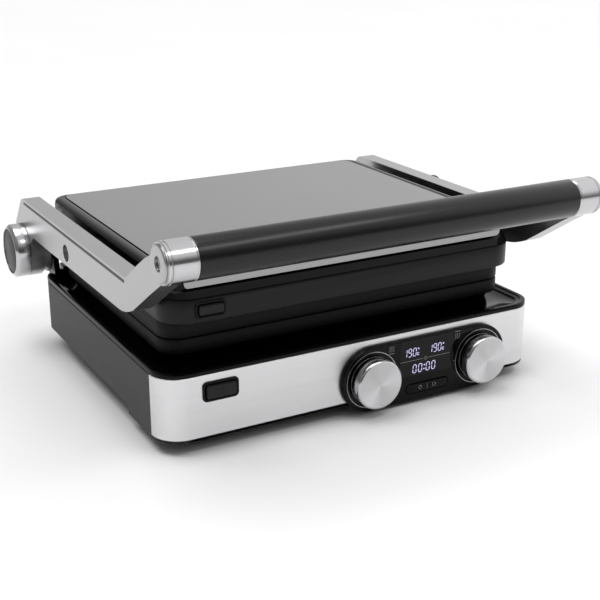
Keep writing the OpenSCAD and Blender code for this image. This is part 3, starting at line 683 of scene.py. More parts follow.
def ridge_bars(floor, up, front, rear):
    """Tapered bars standing on a floor, up being +1 or -1."""
    pitch = (2 * PLATE_HALF - 34) / (RIDGES - 1)
    bars = []
    for k in range(RIDGES):
        x = (k - (RIDGES - 1) / 2) * pitch
        levels = [(3.3, 0.0, -0.5), (2.9, 0.6, 0.3), (1.7, 2.4, RIDGE_H - 0.5), (1.2, 3.2, RIDGE_H)]
        rings = []
        for half, pull, h in levels:
            outline = rounded_plan(half, front + pull, rear - pull, half * 0.95, half * 0.95, 3)
            rings.append([(x + u, v, floor + up * h) for u, v in outline])
        bars.append(loft(rings))
    return together(*bars)


def dish(z_out, z_in, up):
    """A plate with a rim: z_out is its back, z_in its open edge, up points from back to open edge."""
    floor = z_in - up * (RIDGE_H + 0.8)
    rows = [(13.0, z_out), (1.6, z_out), (0.5, z_out + up * 0.5), (0.0, z_out + up * 1.6),
            (0.0, z_in - up * 1.3), (0.4, z_in - up * 0.4), (1.4, z_in), (5.2, z_in), (6.6, z_in - up * 0.6),
            (7.6, z_in - up * 2.4), (8.6, floor + up * 0.3), (10.0, floor)]
    body = loft([plate_ring(inset, z) for inset, z in rows])
    return together(body, ridge_bars(floor, up, PLATE_FRONT + 15, PLATE_REAR - 15))


def keeper(node, z_near):
    """The leg and foot under a plate that its latch holds."""
    low, high = box(node)
    x = RELEASE_X
    front = PLATE_FRONT + 13
    z0, z1 = sorted((z_near, low.z if z_near > low.z + 8 else high.z))
    foot_z = z0 if z_near == z1 else z1 - 2
    leg = pushed("x", [(front, z0), (front + 2.4, z0), (front + 2.4, z1), (front, z1)], x - 6, x + 6)
    toe = front + 7.4
    foot = pushed("x", [(front, foot_z), (toe, foot_z), (toe, foot_z + 2), (front, foot_z + 2)], x - 6, x + 6)
    return together(leg, foot)


UPPER_Z0, UPPER_Z1 = upper_low.z, lid_low.z
piece("lower_grill_plate", together(dish(PLATE_Z0, SEAM_Z, 1), keeper("lower_plate", PLATE_Z0 + 2)), nonstick,
      "base", replaces=["lower_plate"])
piece("upper_grill_plate", together(dish(UPPER_Z1, UPPER_Z0, -1), keeper("upper_plate", UPPER_Z1 - 2)),
      nonstick, "lid", replaces=["upper_plate"])
print(f"seam at {SEAM_Z:.1f} mm, {RIDGES} ridges a plate")

# %% [markdown]
# ## The lid
# The lid has three skins. A satin skirt holds the upper plate. A gloss frame sits on it, with a bevel
# along the front that leaves a thin bright edge. The steel top lies in the frame and bends down at the
# front into a lip.

# %% Skirt and frame
LID_FRONT, LID_REAR = lid_low.y, lid_high.y
SKIRT_TOP = lid_high.z
LIP_PLANE = steel_low.y
LID_FRONT_R, LID_REAR_R = 22.6, 15
UPPER_BEZEL_LOW, UPPER_BEZEL_HIGH = box("upper_release_bezel")


def lid_ring(inset, z, setback=0.0, steps=8):
    front, rear = LID_FRONT + inset + setback, LID_REAR - inset
    return ring(LID_W / 2 - inset, front, rear, LID_FRONT_R - inset, LID_REAR_R - inset, z, steps)


skirt_rings = [lid_ring(14.0, lid_low.z), lid_ring(1.2, lid_low.z), lid_ring(0.3, lid_low.z + 0.4),
               lid_ring(0.0, lid_low.z + 1.2), lid_ring(0.0, SKIRT_TOP - 0.9),
               lid_ring(0.35, SKIRT_TOP - 0.2), lid_ring(1.2, SKIRT_TOP), lid_ring(14.0, SKIRT_TOP)]
upper_hole = rounded_plan((UPPER_BEZEL_HIGH.x - UPPER_BEZEL_LOW.x) / 2 - 1.2, UPPER_BEZEL_LOW.z + 1.2,
                          UPPER_BEZEL_HIGH.z - 1.2, 2.8, 2.8)
upper_hole = pushed("y", [(RELEASE_X + u, v) for u, v in upper_hole], LID_FRONT - 3, LID_FRONT + 5)
piece("lid_skirt", loft(skirt_rings, closed=True), satin_black, "lid", cuts=[upper_hole],
      replaces=["lid_shell"])

BEVEL_TOP = SKIRT_TOP + 5.2
BEVEL_BACK = LIP_PLANE - LID_FRONT + 0.3
foot_rows = [(2.0, 0.0, 0.0), (0.4, 0.15, 0.0), (0.0, 0.6, 0.0), (0.0, 1.0, 0.5)]
bevel_rows = [(0.0, -0.3, -0.3), (0.05, 0.0, 0.1), (0.1, 0.1, 0.7), (0.15, 1.0, 1.6)]
crown_rows = [(0.5, 4.2, 1.6), (1.2, 2.2, 1.6), (2.4, 0.9, 2.0), (4.2, 0.35, 2.4), (9.0, 0.3, 3.0),
              (9.6, 0.6, 3.0), (9.8, 1.4, 3.0), (12.0, 1.6, 3.0)]
frame_rings = [lid_ring(inset, SKIRT_TOP + up, back) for inset, up, back in foot_rows]
frame_rings += [lid_ring(inset, BEVEL_TOP + up, BEVEL_BACK + back) for inset, up, back in bevel_rows]
frame_rings += [lid_ring(inset, LID_TOP - down, BEVEL_BACK + back) for inset, down, back in crown_rows]
frame_rings.append(lid_ring(12.0, SKIRT_TOP, 3.0))
piece("lid_gloss_frame", loft(frame_rings, closed=True), gloss_black, "lid",
      replaces=["lid_frame"])
print(f"bevel from {SKIRT_TOP:.1f} to {BEVEL_TOP:.1f} mm")

# %% [markdown]
# The steel top is one bent sheet. Its section is a flat, a bend and a short drop, and its width changes
# along that section: full on the flat with rounded rear corners, narrower at the lip. A grid of points
# whose width follows the section gives both, and a solidify modifier gives it the sheet's thickness.

# %% Steel top
LIP_LOW = steel_low.z
TOP_HALF = steel_high.x
LIP_HALF = TOP_HALF - 5.1
BEND_R = 7.0
TOP_REAR = steel_high.y


def top_section():
    """Stations (y, z, half width) from the rear edge over the bend to the lip's lower edge."""
    rear_r = 9.0
    stations = []
    for k in range(7):
        a = math.radians(90 * k / 6)
        y = TOP_REAR - rear_r + rear_r * math.cos(a)
        stations.append((y, LID_TOP, TOP_HALF - rear_r + rear_r * math.sin(a)))
    stations += [(y, LID_TOP, TOP_HALF) for y in (100, 40, -20, -80, -98)]
    stations.append((-104.0, LID_TOP, TOP_HALF - 0.6))
    stations.append((LIP_PLANE + BEND_R, LID_TOP, LIP_HALF + 2.2))
    for y, z in arc(LIP_PLANE + BEND_R, LID_TOP - BEND_R, BEND_R, 90, 180, 8)[1:]:
        stations.append((y, z, LIP_HALF + 1.2 * (z - LIP_LOW) / (LID_TOP - LIP_LOW)))
    lip_r = 3.4
    for k in range(6):
        a = math.radians(90 * k / 5)
        z = LIP_LOW + lip_r - lip_r * math.sin(a)
        stations.append((LIP_PLANE, z, LIP_HALF - lip_r + lip_r * math.cos(a)))
    return stations


def bent_sheet(stations, columns=25):
    points, faces = [], []
    for y, z, half in stations:
        points += [(half * (2 * k / (columns - 1) - 1), y, z) for k in range(columns)]
    for r in range(len(stations) - 1):
        for k in range(columns - 1):
            a, b = r * columns + k, (r + 1) * columns + k
            faces.append((a, a + 1, b + 1, b))
    return points, faces


# Its finish is the darker copy of the front's steel, which paints shade onto the lid.
steel_top = piece("steel_top", bent_sheet(top_section()), shaded_lid_steel, "lid",
                  replaces=["lid_top_panel"])
if steel_top.data.polygons[len(steel_top.data.polygons) // 3].normal.z < 0:
    steel_top.data.flip_normals()
steel_top.data.set_sharp_from_angle(angle=math.radians(60))
thick = steel_top.modifiers.new("sheet", "SOLIDIFY")
thick.thickness = 0.8 * MM
thick.offset = -1.0
edge = steel_top.modifiers.new("edges", "BEVEL")
edge.width = 0.22 * MM
edge.segments = 2
edge.angle_limit = math.radians(50)
edge.harden_normals = True
print(f"lip ends at {LIP_LOW:.1f} mm")

# %% [markdown]
# ## Arms and handle
# Each arm is a casting with a straight bar, a raised front that carries the handle and a round hub at the
# hinge. Its outline is drawn once in the side view, from arcs and rounded corners, and pushed through.
# The screw wells are carved out, on the right arm a bore for the lock button's stem too, and then the bevel
# runs round every edge at once, as a tumbled casting has.

# %% Arms
ARM_TOP = inlay_high.z + 1.9
ARM_LOW = ARM_TOP - 28.8
PIVOT_LOW, PIVOT_HIGH = box("pivot_screws")
PIVOT_Y, PIVOT_Z = (PIVOT_LOW.y + PIVOT_HIGH.y) / 2, (PIVOT_LOW.z + PIVOT_HIGH.z) / 2


def arm_outline():
    """The arm's side view as (y, z), clockwise from the elbow on its upper edge."""
    elbow, chin = FRONT + 26, FRONT + 38
    upper = [(elbow - 6, ARM_TOP + 4.0), (elbow - 1.5, ARM_TOP + 1.2), (elbow + 1.5, ARM_TOP + 0.3),
             (elbow + 6, ARM_TOP)]
    rear = filleted([(elbow, ARM_TOP, 0), (HINGE_Y - 3, ARM_TOP, 10), (HINGE_Y + 21, HINGE_Z + 19, 9),
                     (HINGE_Y + HUB_R - 1, HINGE_Z, 0)])[1:-1]
    hub = arc(HINGE_Y, HINGE_Z, HUB_R, 8, -205, 40)
    under = [(HINGE_Y - 30, ARM_LOW), (chin, ARM_LOW + 1.8), (chin - 6, ARM_LOW + 2.8),
             (chin - 11.5, ARM_LOW + 4.2), (chin - 17.5, ARM_LOW + 6.3), (chin - 24, ARM_LOW + 9.2),
             (chin - 37, ARM_LOW + 17.6),
             (chin - 57.6, ARM_LOW + 31.1)]
    boss = arc(GRIP_Y, GRIP_Z, GRIP_R - 0.4, -93, -350, 44)
    rise = [(GRIP_Y + 25.4, GRIP_Z - 3.2), (GRIP_Y + 42.5, GRIP_Z - 13.8)]
    return upper + rear + hub + under + boss + rise


ARM_SIDE = arm_outline()
ARM_EDGE = 1.5


def arm_shapes():
    bar = pushed("x", ARM_SIDE, ARM_IN, ARM_OUT)
    boss = turned("x", (GRIP_Y, GRIP_Z), [
        (GRIP_END, 0), (GRIP_END, GRIP_R - 0.3), (GRIP_END + 0.3, GRIP_R), (ARM_OUT - 3.6, GRIP_R),
        (ARM_OUT - 3.3, GRIP_R - 0.7), (ARM_OUT - 2.7, GRIP_R - 0.7), (ARM_OUT - 2.4, GRIP_R - 0.05),
        (ARM_OUT - 1.2, GRIP_R - 0.05), (ARM_OUT - 0.6, GRIP_R - 0.6), (ARM_OUT - 0.6, 0)])
    face = turned("x", (GRIP_Y, GRIP_Z), [
        (ARM_OUT - 2, 0), (ARM_OUT - 2, GRIP_R - 1.6), (ARM_OUT + 0.7, GRIP_R - 1.6),
        (ARM_OUT + 1.4, GRIP_R - 2.4), (ARM_OUT + 1.5, GRIP_R - 3.2), (ARM_OUT + 1.5, 0)])
    pivot_well = drilled("x", (PIVOT_Y, PIVOT_Z), 6.8, ARM_OUT - 7, ARM_OUT + 2)
    grip_well = turned("x", (GRIP_Y, GRIP_Z), [
        (ARM_OUT - 2.5, 0), (ARM_OUT - 2.5, 4.9), (ARM_OUT + 1, 5.2), (ARM_OUT + 4, 5.2), (ARM_OUT + 4, 0)])
    relief = drilled("x", (HINGE_Y, HINGE_Z), HUB_R + 12, ARM_IN - 3, BASE_W / 2 + 1)
    bore = drilled("x", (HINGE_Y, HINGE_Z), 9, ARM_IN - 3, ARM_OUT + 3)
    return bar, boss, face, pivot_well, grip_well, relief, bore


bar, boss, face, pivot_well, grip_well, relief, bore = arm_shapes()
lock_low, lock_high = box("lock_button")
lock_c = ((lock_low.y + lock_high.y) / 2, (lock_low.z + lock_high.z) / 2)
lock_bore = drilled("x", lock_c, 4.3, ARM_OUT - 10, ARM_OUT + 1)
for side, turn in (("right", lambda s: s), ("left", flipped_x)):
    wells = [turn(relief), turn(bore), turn(pivot_well), turn(grip_well)]
    if side == "right":
        wells.append(lock_bore)
    piece(f"arm_bar_{side}", turn(bar), arm_metal, "arms", ARM_EDGE, cuts=wells,
          replaces=[f"arm_{side}"], segments=3)
    piece(f"grip_boss_{side}", turn(boss), polished, "arms", cuts=[turn(grip_well)])
    piece(f"boss_face_{side}", turn(face), arm_metal, "arms", 0.25, cuts=[turn(grip_well)])
print("arm outline has", len(ARM_SIDE), "points")

# %% [markdown]
# A dark strip is let into the upper edge of each arm's outer face. It ends in a round nose near the elbow,
# and stands a hair proud, which is enough for its edge to draw a line.

# %% Inlays
strip_z0, strip_z1 = inlay_low.z, inlay_high.z
nose_r = (strip_z1 - strip_z0) / 2
strip = [(HINGE_Y - 8.5, strip_z0), (HINGE_Y - 10.5, strip_z1)]
strip += arc(FRONT + 28 + nose_r, strip_z0 + nose_r, nose_r, 90, 270, 10)
inlay = pushed("x", strip, ARM_OUT - 1.0, ARM_OUT + 0.12)
for side, turn in (("right", lambda s: s), ("left", flipped_x)):
    piece(f"inlay_strip_{side}", turn(inlay), inlay_grey, "arms", 0.1,
          replaces=[f"arm_inlay_{side}"])
print(f"strip is {strip_z1 - strip_z0:.1f} mm tall")

# %% [markdown]
# The grip is a straight tube with softly rounded ends and a thin bright ring where it meets each boss.
# Everything that is round about the handle's axis is turned from a short profile.

# %% Grip and rings
tube = turned("x", (GRIP_Y, GRIP_Z), [
    (-GRIP_END + 1.2, 10), (-GRIP_END + 1.2, GRIP_R - 0.8), (-GRIP_END + 1.5, GRIP_R - 0.2),
    (-GRIP_END + 2.2, GRIP_R), (GRIP_END - 2.2, GRIP_R), (GRIP_END - 1.5, GRIP_R - 0.2),
    (GRIP_END - 1.2, GRIP_R - 0.8), (GRIP_END - 1.2, 10)],
    96, closed=True)
piece("grip_tube", tube, grip_black, "arms", replaces=["handle_grip"])
collar = turned("x", (GRIP_Y, GRIP_Z), [
    (GRIP_END - 1.2, 10), (GRIP_END - 1.2, GRIP_R - 0.3), (GRIP_END - 0.9, GRIP_R),
    (GRIP_END - 0.3, GRIP_R), (GRIP_END, GRIP_R - 0.3), (GRIP_END, 10)], 72, closed=True)
for side, turn in (("right", lambda s: s), ("left", flipped_x)):
    piece(f"grip_collar_{side}", turn(collar), polished, "arms")
print(f"grip is {2 * GRIP_R:.1f} mm thick")

# %% [markdown]
# ## The hinge
# At each rear corner a gloss post rises from the deck to a round head. A polished cap covers the hub on
# the outside, with a dark disc set in its end.

# %% Caps, discs and posts
CAP_END = cap_high.x
disc_r = HUB_R - 3.6
cap = turned("x", (HINGE_Y, HINGE_Z), [
    (ARM_OUT, 8), (ARM_OUT, HUB_R - 0.5), (ARM_OUT + 0.5, HUB_R), (CAP_END - 3.0, HUB_R),
    (CAP_END - 2.2, HUB_R - 0.35),
    (CAP_END - 0.5, disc_r + 1.3), (CAP_END, disc_r + 0.8), (CAP_END, disc_r + 0.2), (CAP_END - 0.3, disc_r),
    (CAP_END - 1.5, disc_r), (CAP_END - 1.5, 8)], 96, closed=True)
disc = turned("x", (HINGE_Y, HINGE_Z), [
    (CAP_END - 1.4, 0), (CAP_END - 1.4, disc_r - 0.2), (CAP_END - 0.9, disc_r - 0.25),
    (CAP_END - 0.6, disc_r - 0.9),
    (CAP_END - 0.45, 0)], 96)
foot_y = REAR - 24
post_side = filleted([(foot_y, post_low.z, 0), (foot_y + 14, post_low.z, 0), (foot_y + 14, rim_z + 3, 8),
                      (HINGE_Y - 4, HINGE_Z - HUB_R + 4, 3), (HINGE_Y - 2, HINGE_Z, 0),
                      (foot_y + 3, HINGE_Z - 2, 6), (foot_y, rim_z + 6, 6)])
post_foot = pushed("x", post_side, post_low.x, post_low.x + 4.9)
head_r = HUB_R - 1
post_head = turned("x", (HINGE_Y, HINGE_Z), [
    (post_low.x, 7), (post_low.x, head_r - 0.8), (post_low.x + 0.8, head_r), (post_high.x - 0.8, head_r),
    (post_high.x, head_r - 0.8), (post_high.x, 7)], 72, closed=True)
for side, turn in (("right", lambda s: s), ("left", flipped_x)):
    piece(f"cap_shell_{side}", turn(cap), polished, "arms", replaces=[f"hinge_cap_{side}"])
    piece(f"cap_plate_{side}", turn(disc), cap_disc_metal, "arms", replaces=[f"cap_disc_{side}"])
    piece(f"post_foot_{side}", turn(post_foot), gloss_black, "base", 0.5,
          replaces=[f"hinge_post_{side}"])
    piece(f"post_head_{side}", turn(post_head), gloss_black, "base")
print(f"cap ends at {CAP_END:.1f} mm")

# %% [markdown]
# ## Controls
# The control panel is a pill-shaped plate. Two knobs of spun metal stand on it, each with a bright turned
# chamfer and a narrower tier behind. Between them a window shows the time and both temperatures.

# %% Control panel
PANEL_FACE = control_low.y
PANEL_Z = (control_low.z + control_high.z) / 2
PANEL_R = (control_high.z - control_low.z) / 2
PANEL_X = (control_low.x + control_high.x) / 2
start_low, start_high = box("start_button")
START_X, START_Z = (start_low.x + start_high.x) / 2, (start_low.z + start_high.z) / 2


def pill(cx, cz, half_w, r, steps=24):
    """Outline of a bar with round ends."""
    reach = half_w - r
    return arc(cx + reach, cz, r, -90, 90, steps) + arc(cx - reach, cz, r, 90, 270, steps)


panel_half = (control_high.x - control_low.x) / 2
levels = [(4.0, FRONT), (3.4, PANEL_FACE + 3.0), (0.5, PANEL_FACE + 1.5), (0.0, PANEL_FACE + 1.1),
          (0.1, PANEL_FACE + 0.6), (0.5, PANEL_FACE + 0.15), (1.2, PANEL_FACE)]
panel = loft([[(x, y, z) for x, z in pill(PANEL_X, PANEL_Z, panel_half - i, PANEL_R - i)] for i, y in levels])
start_well = pushed("y", pill(START_X, START_Z, (start_high.x - start_low.x) / 2 + 0.5,
                              (start_high.z - start_low.z) / 2 + 0.5, 12), PANEL_FACE - 2, PANEL_FACE + 3.4)
window_low, window_high = box("display_window")
piece("control_plate", panel, gloss_black, "base", cuts=[start_well],
      replaces=["control_panel"])
pane = rounded_plan((window_high.x - window_low.x) / 2, window_low.z, window_high.z, 1.5, 1.5, 4)
pane = pushed("y", [(PANEL_X + u, v) for u, v in pane], PANEL_FACE - 0.06, PANEL_FACE + 1.2)
piece("window_pane", pane, window_glass, "base", 0.05, replaces=["display_window"])
print(f"panel is {2 * panel_half:.0f} by {2 * PANEL_R:.0f} mm")

# %% [markdown]
# The knobs are turned. Their front face dips by a fraction of a millimetre inside the chamfer, as a spun
# face does, and the side steps in to a narrower tier at the back.

# %% Knobs
KNOB_FACE = knob_low.y
KNOB_BACK = knob_high.y


def knob_shape(x):
    r, rear_r = KNOB_R, KNOB_R - 3.0
    return turned("y", (x, KNOB_Z), [
        (KNOB_FACE + 0.12, 0), (KNOB_FACE + 0.12, r - 2.3), (KNOB_FACE, r - 2.0), (KNOB_FACE, r - 1.35),
        (KNOB_FACE + 0.25, r - 0.95), (KNOB_FACE + 1.0, r - 0.2), (KNOB_FACE + 1.4, r), (KNOB_BACK - 4.4, r),
        (KNOB_BACK - 3.8, r - 0.5), (KNOB_BACK - 3.6, rear_r + 0.5), (KNOB_BACK - 3.2, rear_r),
        (KNOB_BACK - 0.5, rear_r),
        (KNOB_BACK, rear_r - 0.5), (KNOB_BACK, 0)], 96)


piece("dial_left", knob_shape(LEFT_X), left_spun, "left_dial", replaces=["left_knob"])
piece("dial_right", knob_shape(RIGHT_X), right_spun, "right_dial", replaces=["right_knob"])


ring_sheet = (PANEL_FACE - 0.12, PANEL_FACE + 0.3)
dial_rings = [washer((x, PANEL_Z), r - width / 2, r + width / 2, ring_sheet, 96)
              for x in (LEFT_X, RIGHT_X) for r, width in ((22.4, 0.45), (18.6, 0.6))]
piece("dial_rings", together(*dial_rings), zinc, "base")
print(f"knob is {2 * KNOB_R:.1f} mm across")

# %% [markdown]
# Digits on such a display are built from seven bars. A table of which bars are lit turns a number into
# geometry. The bars are thin plates that lie on the window, where nothing dims them. The printed marks are
# made in the same way, each as a sheet with a near and a far face.

# %% Bars and digits
LIT = {"0": "abcdef", "1": "bc", "9": "abcdfg"}
PANEL_SHEET = (PANEL_FACE - 0.16, PANEL_FACE + 0.1)


def bar_between(x0, z0, x1, z1, width, sheet=PANEL_SHEET):
    """A thin bar with pointed ends between two places on a sheet."""
    start, stop = Vector((x0, z0)), Vector((x1, z1))
    on = (stop - start).normalized()
    out = Vector((-on.y, on.x)) * (width / 2)
    tip = on * (width / 2)
    outline = [start, start + tip - out, stop - tip - out, stop, stop - tip + out, start + tip + out]
    return pushed("y", [(p.x, p.y) for p in outline], *sheet)


def digit(symbol, x, z, w, h, width):
    slant = 0.06
    spots = {(i, j): (x + i * w + j * h / 2 * slant, z + j * h / 2) for i in (0, 1) for j in (0, 1, 2)}
    ends = {"a": ((0, 2), (1, 2)), "b": ((1, 1), (1, 2)), "c": ((1, 0), (1, 1)), "d": ((0, 0), (1, 0)),
            "e": ((0, 0), (0, 1)), "f": ((0, 1), (0, 2)), "g": ((0, 1), (1, 1))}
    bars = []
    for name in LIT[symbol]:
        (x0, z0), (x1, z1) = (spots[key] for key in ends[name])
        gap_x, gap_z = (x1 - x0) * 0.08, (z1 - z0) * 0.08
        bars.append(bar_between(x0 + gap_x, z0 + gap_z, x1 - gap_x, z1 - gap_z, width))
    return together(*bars)


def dot(x, z, r):
    return pushed("y", arc(x, z, r, 0, 330, 11), *PANEL_SHEET)


print("digits that can be shown:", " ".join(LIT))

# %% [markdown]
# The two temperatures stand side by side at the top, each with its unit. The time stands below them.

# %% Lit digits
BASE_LINE = PANEL_Z - 18.7
TEMPERATURE_X = (33.2, 56.6)
TIME_X = (42.0, 47.2, 54.4, 59.6)
CLOCK_X = 53.9
lit = []
for x0 in TEMPERATURE_X:
    for k, symbol in enumerate("190"):
        lit.append(digit(symbol, x0 + k * 4.3, BASE_LINE + 30.8, 2.7, 6.4, 0.55))
    degree = washer((x0 + 13.6, BASE_LINE + 36.4), 0.4, 0.75, PANEL_SHEET, 16)
    lit.append(together(degree, bar_between(x0 + 12.6, BASE_LINE + 33.0, x0 + 14.4, BASE_LINE + 33.0, 0.5),
                        bar_between(x0 + 12.6, BASE_LINE + 31.2, x0 + 12.6, BASE_LINE + 33.2, 0.5),
                        bar_between(x0 + 12.6, BASE_LINE + 31.2, x0 + 14.4, BASE_LINE + 31.2, 0.5)))
for x0 in TIME_X:
    lit.append(digit("0", x0, BASE_LINE + 16.6, 3.0, 6.6, 0.62))
lit += [dot(52.5, BASE_LINE + 18.4, 0.6), dot(52.8, BASE_LINE + 21.6, 0.6)]
piece("lit_digits", together(*lit), digit_light, "base")
print(len(lit), "lit groups")

# %% [markdown]
# The printed marks show which plate a knob heats: three wavy lines over a bar for the lower one, under a bar
# for the upper one. Two fine lines part the temperatures from the time, with a small clock between them.

# %% Printed marks
def heat_mark(x, z, bar_z):
    """Three wavy lines and a bar: heat from a plate."""
    lines = [bar_between(x - 2.6, bar_z, x + 2.6, bar_z, 0.55)]
    for k in (-1.7, 0.0, 1.7):
        for j in range(3):
            lean = 0.35 if j % 2 else -0.35
            lines.append(bar_between(x + k + lean, z - 2.4 + 1.6 * j, x + k - lean, z - 0.8 + 1.6 * j, 0.45))
    return together(*lines)


marks = [heat_mark(22.0, BASE_LINE + 40.4, BASE_LINE + 36.7),
         heat_mark(83.6, BASE_LINE + 39.7, BASE_LINE + 43.6),
         bar_between(30.3, BASE_LINE + 27.2, 51.6, BASE_LINE + 27.2, 0.4),
         bar_between(56.2, BASE_LINE + 27.2, 76.7, BASE_LINE + 27.2, 0.4)]
clock = washer((CLOCK_X, BASE_LINE + 27.2), 1.1, 1.5, PANEL_SHEET, 24)
marks += [clock, bar_between(CLOCK_X, BASE_LINE + 27.2, CLOCK_X, BASE_LINE + 28.2, 0.3)]
marks += [bar_between(84.0, BASE_LINE + 8.0, 85.2, BASE_LINE + 9.6, 0.5),
          bar_between(80.6, BASE_LINE + 19.2, 82.2, BASE_LINE + 19.2, 0.5)]
piece("printed_marks", together(*marks), ink_grey, "base")
print(len(marks), "printed marks")

# %% [markdown]
# ## Buttons
# The start button is a pill set in the panel. Its marks are generic: a ring with a bar for power, a fine line
# in the middle, and a bar with an arrow for start.

# %% Start button
START_BACK = start_low.y + 2.5
levels = [(0.0, START_BACK), (0.0, start_low.y + 0.9), (0.35, start_low.y + 0.25), (1.0, start_low.y)]
half_w, half_h = (start_high.x - start_low.x) / 2, (start_high.z - start_low.z) / 2
key = loft([[(x, y, z) for x, z in pill(START_X, START_Z, half_w - i, half_h - i, 12)] for i, y in levels])
piece("start_key_cap", key, gloss_black, "start_key", replaces=["start_button"])
KEY_SHEET = (start_low.y - 0.06, start_low.y + 0.1)
power = washer((START_X - 6.5, START_Z), 1.2, 1.6, KEY_SHEET, 24)
START_BARS = ((-6.5, 0.4, -6.5, 2.2, 0.4), (0, -2.2, 0, 2.2, 0.35), (5.2, -1.6, 5.2, 1.6, 0.4),
              (6.4, -1.6, 8.4, 0, 0.4), (6.4, 1.6, 8.4, 0, 0.4))
start_bars = [bar_between(START_X + x0, START_Z + z0, START_X + x1, START_Z + z1, width, KEY_SHEET)
              for x0, z0, x1, z1, width in START_BARS]
start_marks = together(power, *start_bars)
piece("start_key_marks", start_marks, ink_grey, "start_key")
print(f"start button is {2 * half_w:.0f} by {2 * half_h:.0f} mm")

# %% [markdown]
# Each plate has a release button in a recessed bezel. The bezel is a closed loft that turns inwards, and the
# button is a cushion-shaped block with two fine stripes.

# %% Release buttons
def release_pieces(which, wall_y, body, key_body):
    """A bezel and its button, from the boxes of their nodes."""
    low, high = box(f"{which}_release_bezel")
    z0, z1 = low.z, high.z
    half = (high.x - low.x) / 2

    def frame_ring(inset, y, r):
        outline = rounded_plan(half - inset, z0 + inset, z1 - inset, r, r, 6)
        return [(RELEASE_X + u, y, v) for u, v in outline]

    depth = wall_y + 3.3
    rows = [(0.0, wall_y + 0.1, 3.6), (0.0, low.y + 0.6, 3.6), (0.25, low.y + 0.12, 3.4), (0.7, low.y, 3.1),
            (1.3, low.y, 2.6), (1.8, low.y + 0.2, 2.2), (2.0, low.y + 0.8, 2.0), (2.0, depth, 2.0),
            (1.4, depth, 2.6), (1.4, wall_y + 0.1, 2.6)]
    piece(f"{which}_bezel_frame", loft([frame_ring(*row) for row in rows], closed=True), gloss_black, body,
          replaces=[f"{which}_release_bezel"])
    low, high = box(f"{which}_release_button")
    z0, z1 = low.z, high.z
    half = (high.x - low.x) / 2
    rows = [(0.0, high.y, 1.8), (0.0, low.y + 1.1, 1.8), (0.3, low.y + 0.35, 1.6), (1.0, low.y, 1.2),
            (2.6, low.y + 0.25, 0.8)]
    piece(f"{which}_release_key", loft([frame_ring(*row) for row in rows]), button_black, key_body,
          replaces=[f"{which}_release_button"])
    middle = (z0 + z1) / 2
    face = low.y + 0.28
    stripe = rounded_plan(2.4, -0.4, 0.4, 0.3, 0.3, 3)
    bars = [pushed("y", [(RELEASE_X + u, middle + s + v) for u, v in stripe], face - 0.22, face + 0.2)
            for s in (-1.0, 1.0)]
    piece(f"{which}_release_mark", together(*bars), button_black, key_body)


release_pieces("lower", FRONT, "base", "lower_release")
release_pieces("upper", LID_FRONT, "lid", "upper_release")
print("release buttons at x", round(RELEASE_X, 1), "mm")

# %% [markdown]
# A round button on the outside of the right arm locks the lid. It is turned in one piece with its stem.

# %% Lock button
lock_r = (lock_high.y - lock_low.y) / 2
lock = turned("x", lock_c, [
    (lock_low.x, 0), (lock_low.x, 4.0), (ARM_OUT + 3.5, 4.0), (ARM_OUT + 3.5, lock_r - 0.4),
    (ARM_OUT + 3.9, lock_r), (lock_high.x - 1.4, lock_r), (lock_high.x - 0.4, lock_r - 0.4),
    (lock_high.x, lock_r - 1.4), (lock_high.x - 0.3, 0)], 72)
piece("lock_cap", lock, button_black, "lid_lock", replaces=["lock_button"])
print(f"lock button is {2 * lock_r:.1f} mm across")

# %% [markdown]
# ## What stays as designed
# Screws, pins, boards, trays and elements keep the solids that the design gave them. They only need their
# finishes, chosen by node.

# %% Finishes of the designed solids
KEPT = {
    satin_black: ["bottom_cover", "lid_pivot_bosses"],
    foot_rubber: ["rubber_feet", "cord_gland"],
    zinc: ["base_screws", "knob_encoders", "left_knob_shaft", "right_knob_shaft", "hinge_pins",
           "hinge_washers", "handle_core", "handle_screws", "pivot_screws", "lid_screws",
           "lower_release_latch", "upper_release_latch"],
    board_green: ["display_board", "power_board"],
    brass: ["hinge_bushes"],
    tray_steel: ["lower_reflector", "upper_reflector"],
    sheath: ["lower_element", "upper_element"],
}
for finish, nodes in KEPT.items():
    for node in nodes:
        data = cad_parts[node].data
        data.materials.clear()
        data.materials.append(finish)
print(sum(len(nodes) for nodes in KEPT.values()), "nodes finished")

# %% [markdown]
# ## The studio
# The grill stands on a plain pale floor that is much larger than it is, so that its far edge comes close to
# the horizon.

# %% Floor
floor_mesh = bpy.data.meshes.new("studio_floor")
reach = 60.0
floor_mesh.from_pydata([(-reach, -reach, 0), (reach, -reach, 0), (reach, reach, 0), (-reach, reach, 0)], [],
                       [(0, 1, 2, 3)])
floor = bpy.data.objects.new("studio_floor", floor_mesh)
bpy.context.scene.collection.objects.link(floor)
pale = Finish("pale_floor", Roughness=0.7, Specular_IOR_Level=0.2)
pale.feed("Base Color", pale.tint(pale.noise(400.0, 2.0, 0.5), (0.83, 0.83, 0.83), (0.86, 0.86, 0.86)))
floor_mesh.materials.append(pale.material)
print(f"floor is {2 * reach:.0f} m wide")

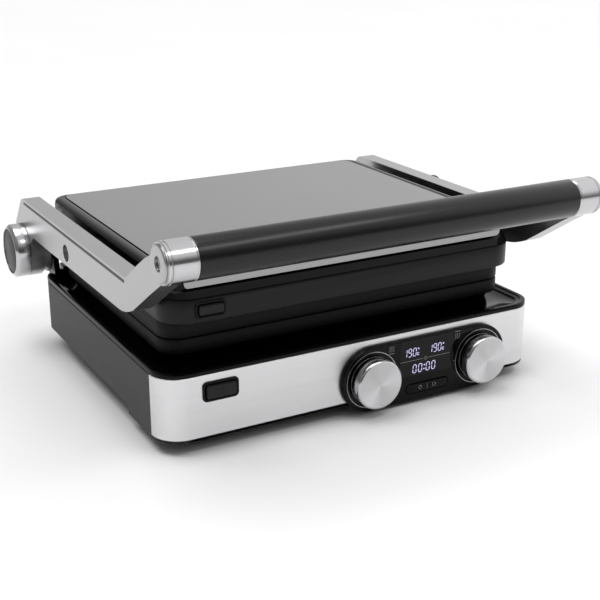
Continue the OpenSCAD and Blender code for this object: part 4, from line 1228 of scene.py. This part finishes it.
# %% [markdown]
# Steel shows the room that it faces, so the room is what gives the grill its tones. It is brighter at the
# right than at the left, a little brighter towards the top, and dim where it is low in front of the grill.

# %% Room
bpy.context.scene.view_settings.view_transform = "Standard"
world = bpy.data.worlds.new("studio")
world.use_nodes = True
bpy.context.scene.world = world
sky = world.node_tree
look = add_node(sky, "ShaderNodeTexCoord", output="Generated")
parts = add_node(sky, "ShaderNodeSeparateXYZ", None, {0: look})
across, depth, up = (Value(sky, parts.socket.node.outputs[k]) for k in range(3))
low_front = add_node(sky, "ShaderNodeMapRange", {"interpolation_type": "SMOOTHSTEP"},
                     {0: depth * -1.0 - up * 0.9, 1: 0.1, 2: 0.75, 3: 1.0, 4: 0.12})
side_light = add_node(sky, "ShaderNodeMapRange", None, {0: across, 1: -0.6, 2: 0.8, 3: 0.16, 4: 0.95})
level = (side_light + up * 0.25) * low_front
background = sky.nodes["Background"]
background.inputs["Color"].default_value = (1.0, 1.0, 1.0, 1.0)
sky.links.new(level.socket, background.inputs["Strength"])
print("room has", len(sky.nodes), "nodes")

# %% [markdown]
# A broad soft box overhead draws the long highlight on the grip, and a very soft sun lays the shadow.

# %% Lights
def soft_box(name, place, aim, size, power):
    """A rectangular soft light at a place, turned towards its aim."""
    data = bpy.data.lights.new(name, "AREA")
    data.shape = "RECTANGLE"
    data.size, data.size_y = size
    data.energy = power
    lamp = bpy.data.objects.new(name, data)
    bpy.context.scene.collection.objects.link(lamp)
    lamp.location = place
    lamp.rotation_euler = (Vector(aim) - Vector(place)).to_track_quat("-Z", "Y").to_euler()
    lamp.visible_camera = False
    return lamp


soft_box("overhead", (0.3, -0.9, 1.5), (0.05, -0.15, 0.15), (1.2, 0.35), 5.0)
sun_data = bpy.data.lights.new("soft_sun", "SUN")
sun_data.energy = 1.75
sun_data.angle = math.radians(40)
sun = bpy.data.objects.new("soft_sun", sun_data)
bpy.context.scene.collection.objects.link(sun)
sun.rotation_euler = (math.radians(-12), math.radians(-14), 0)
print("studio ready")
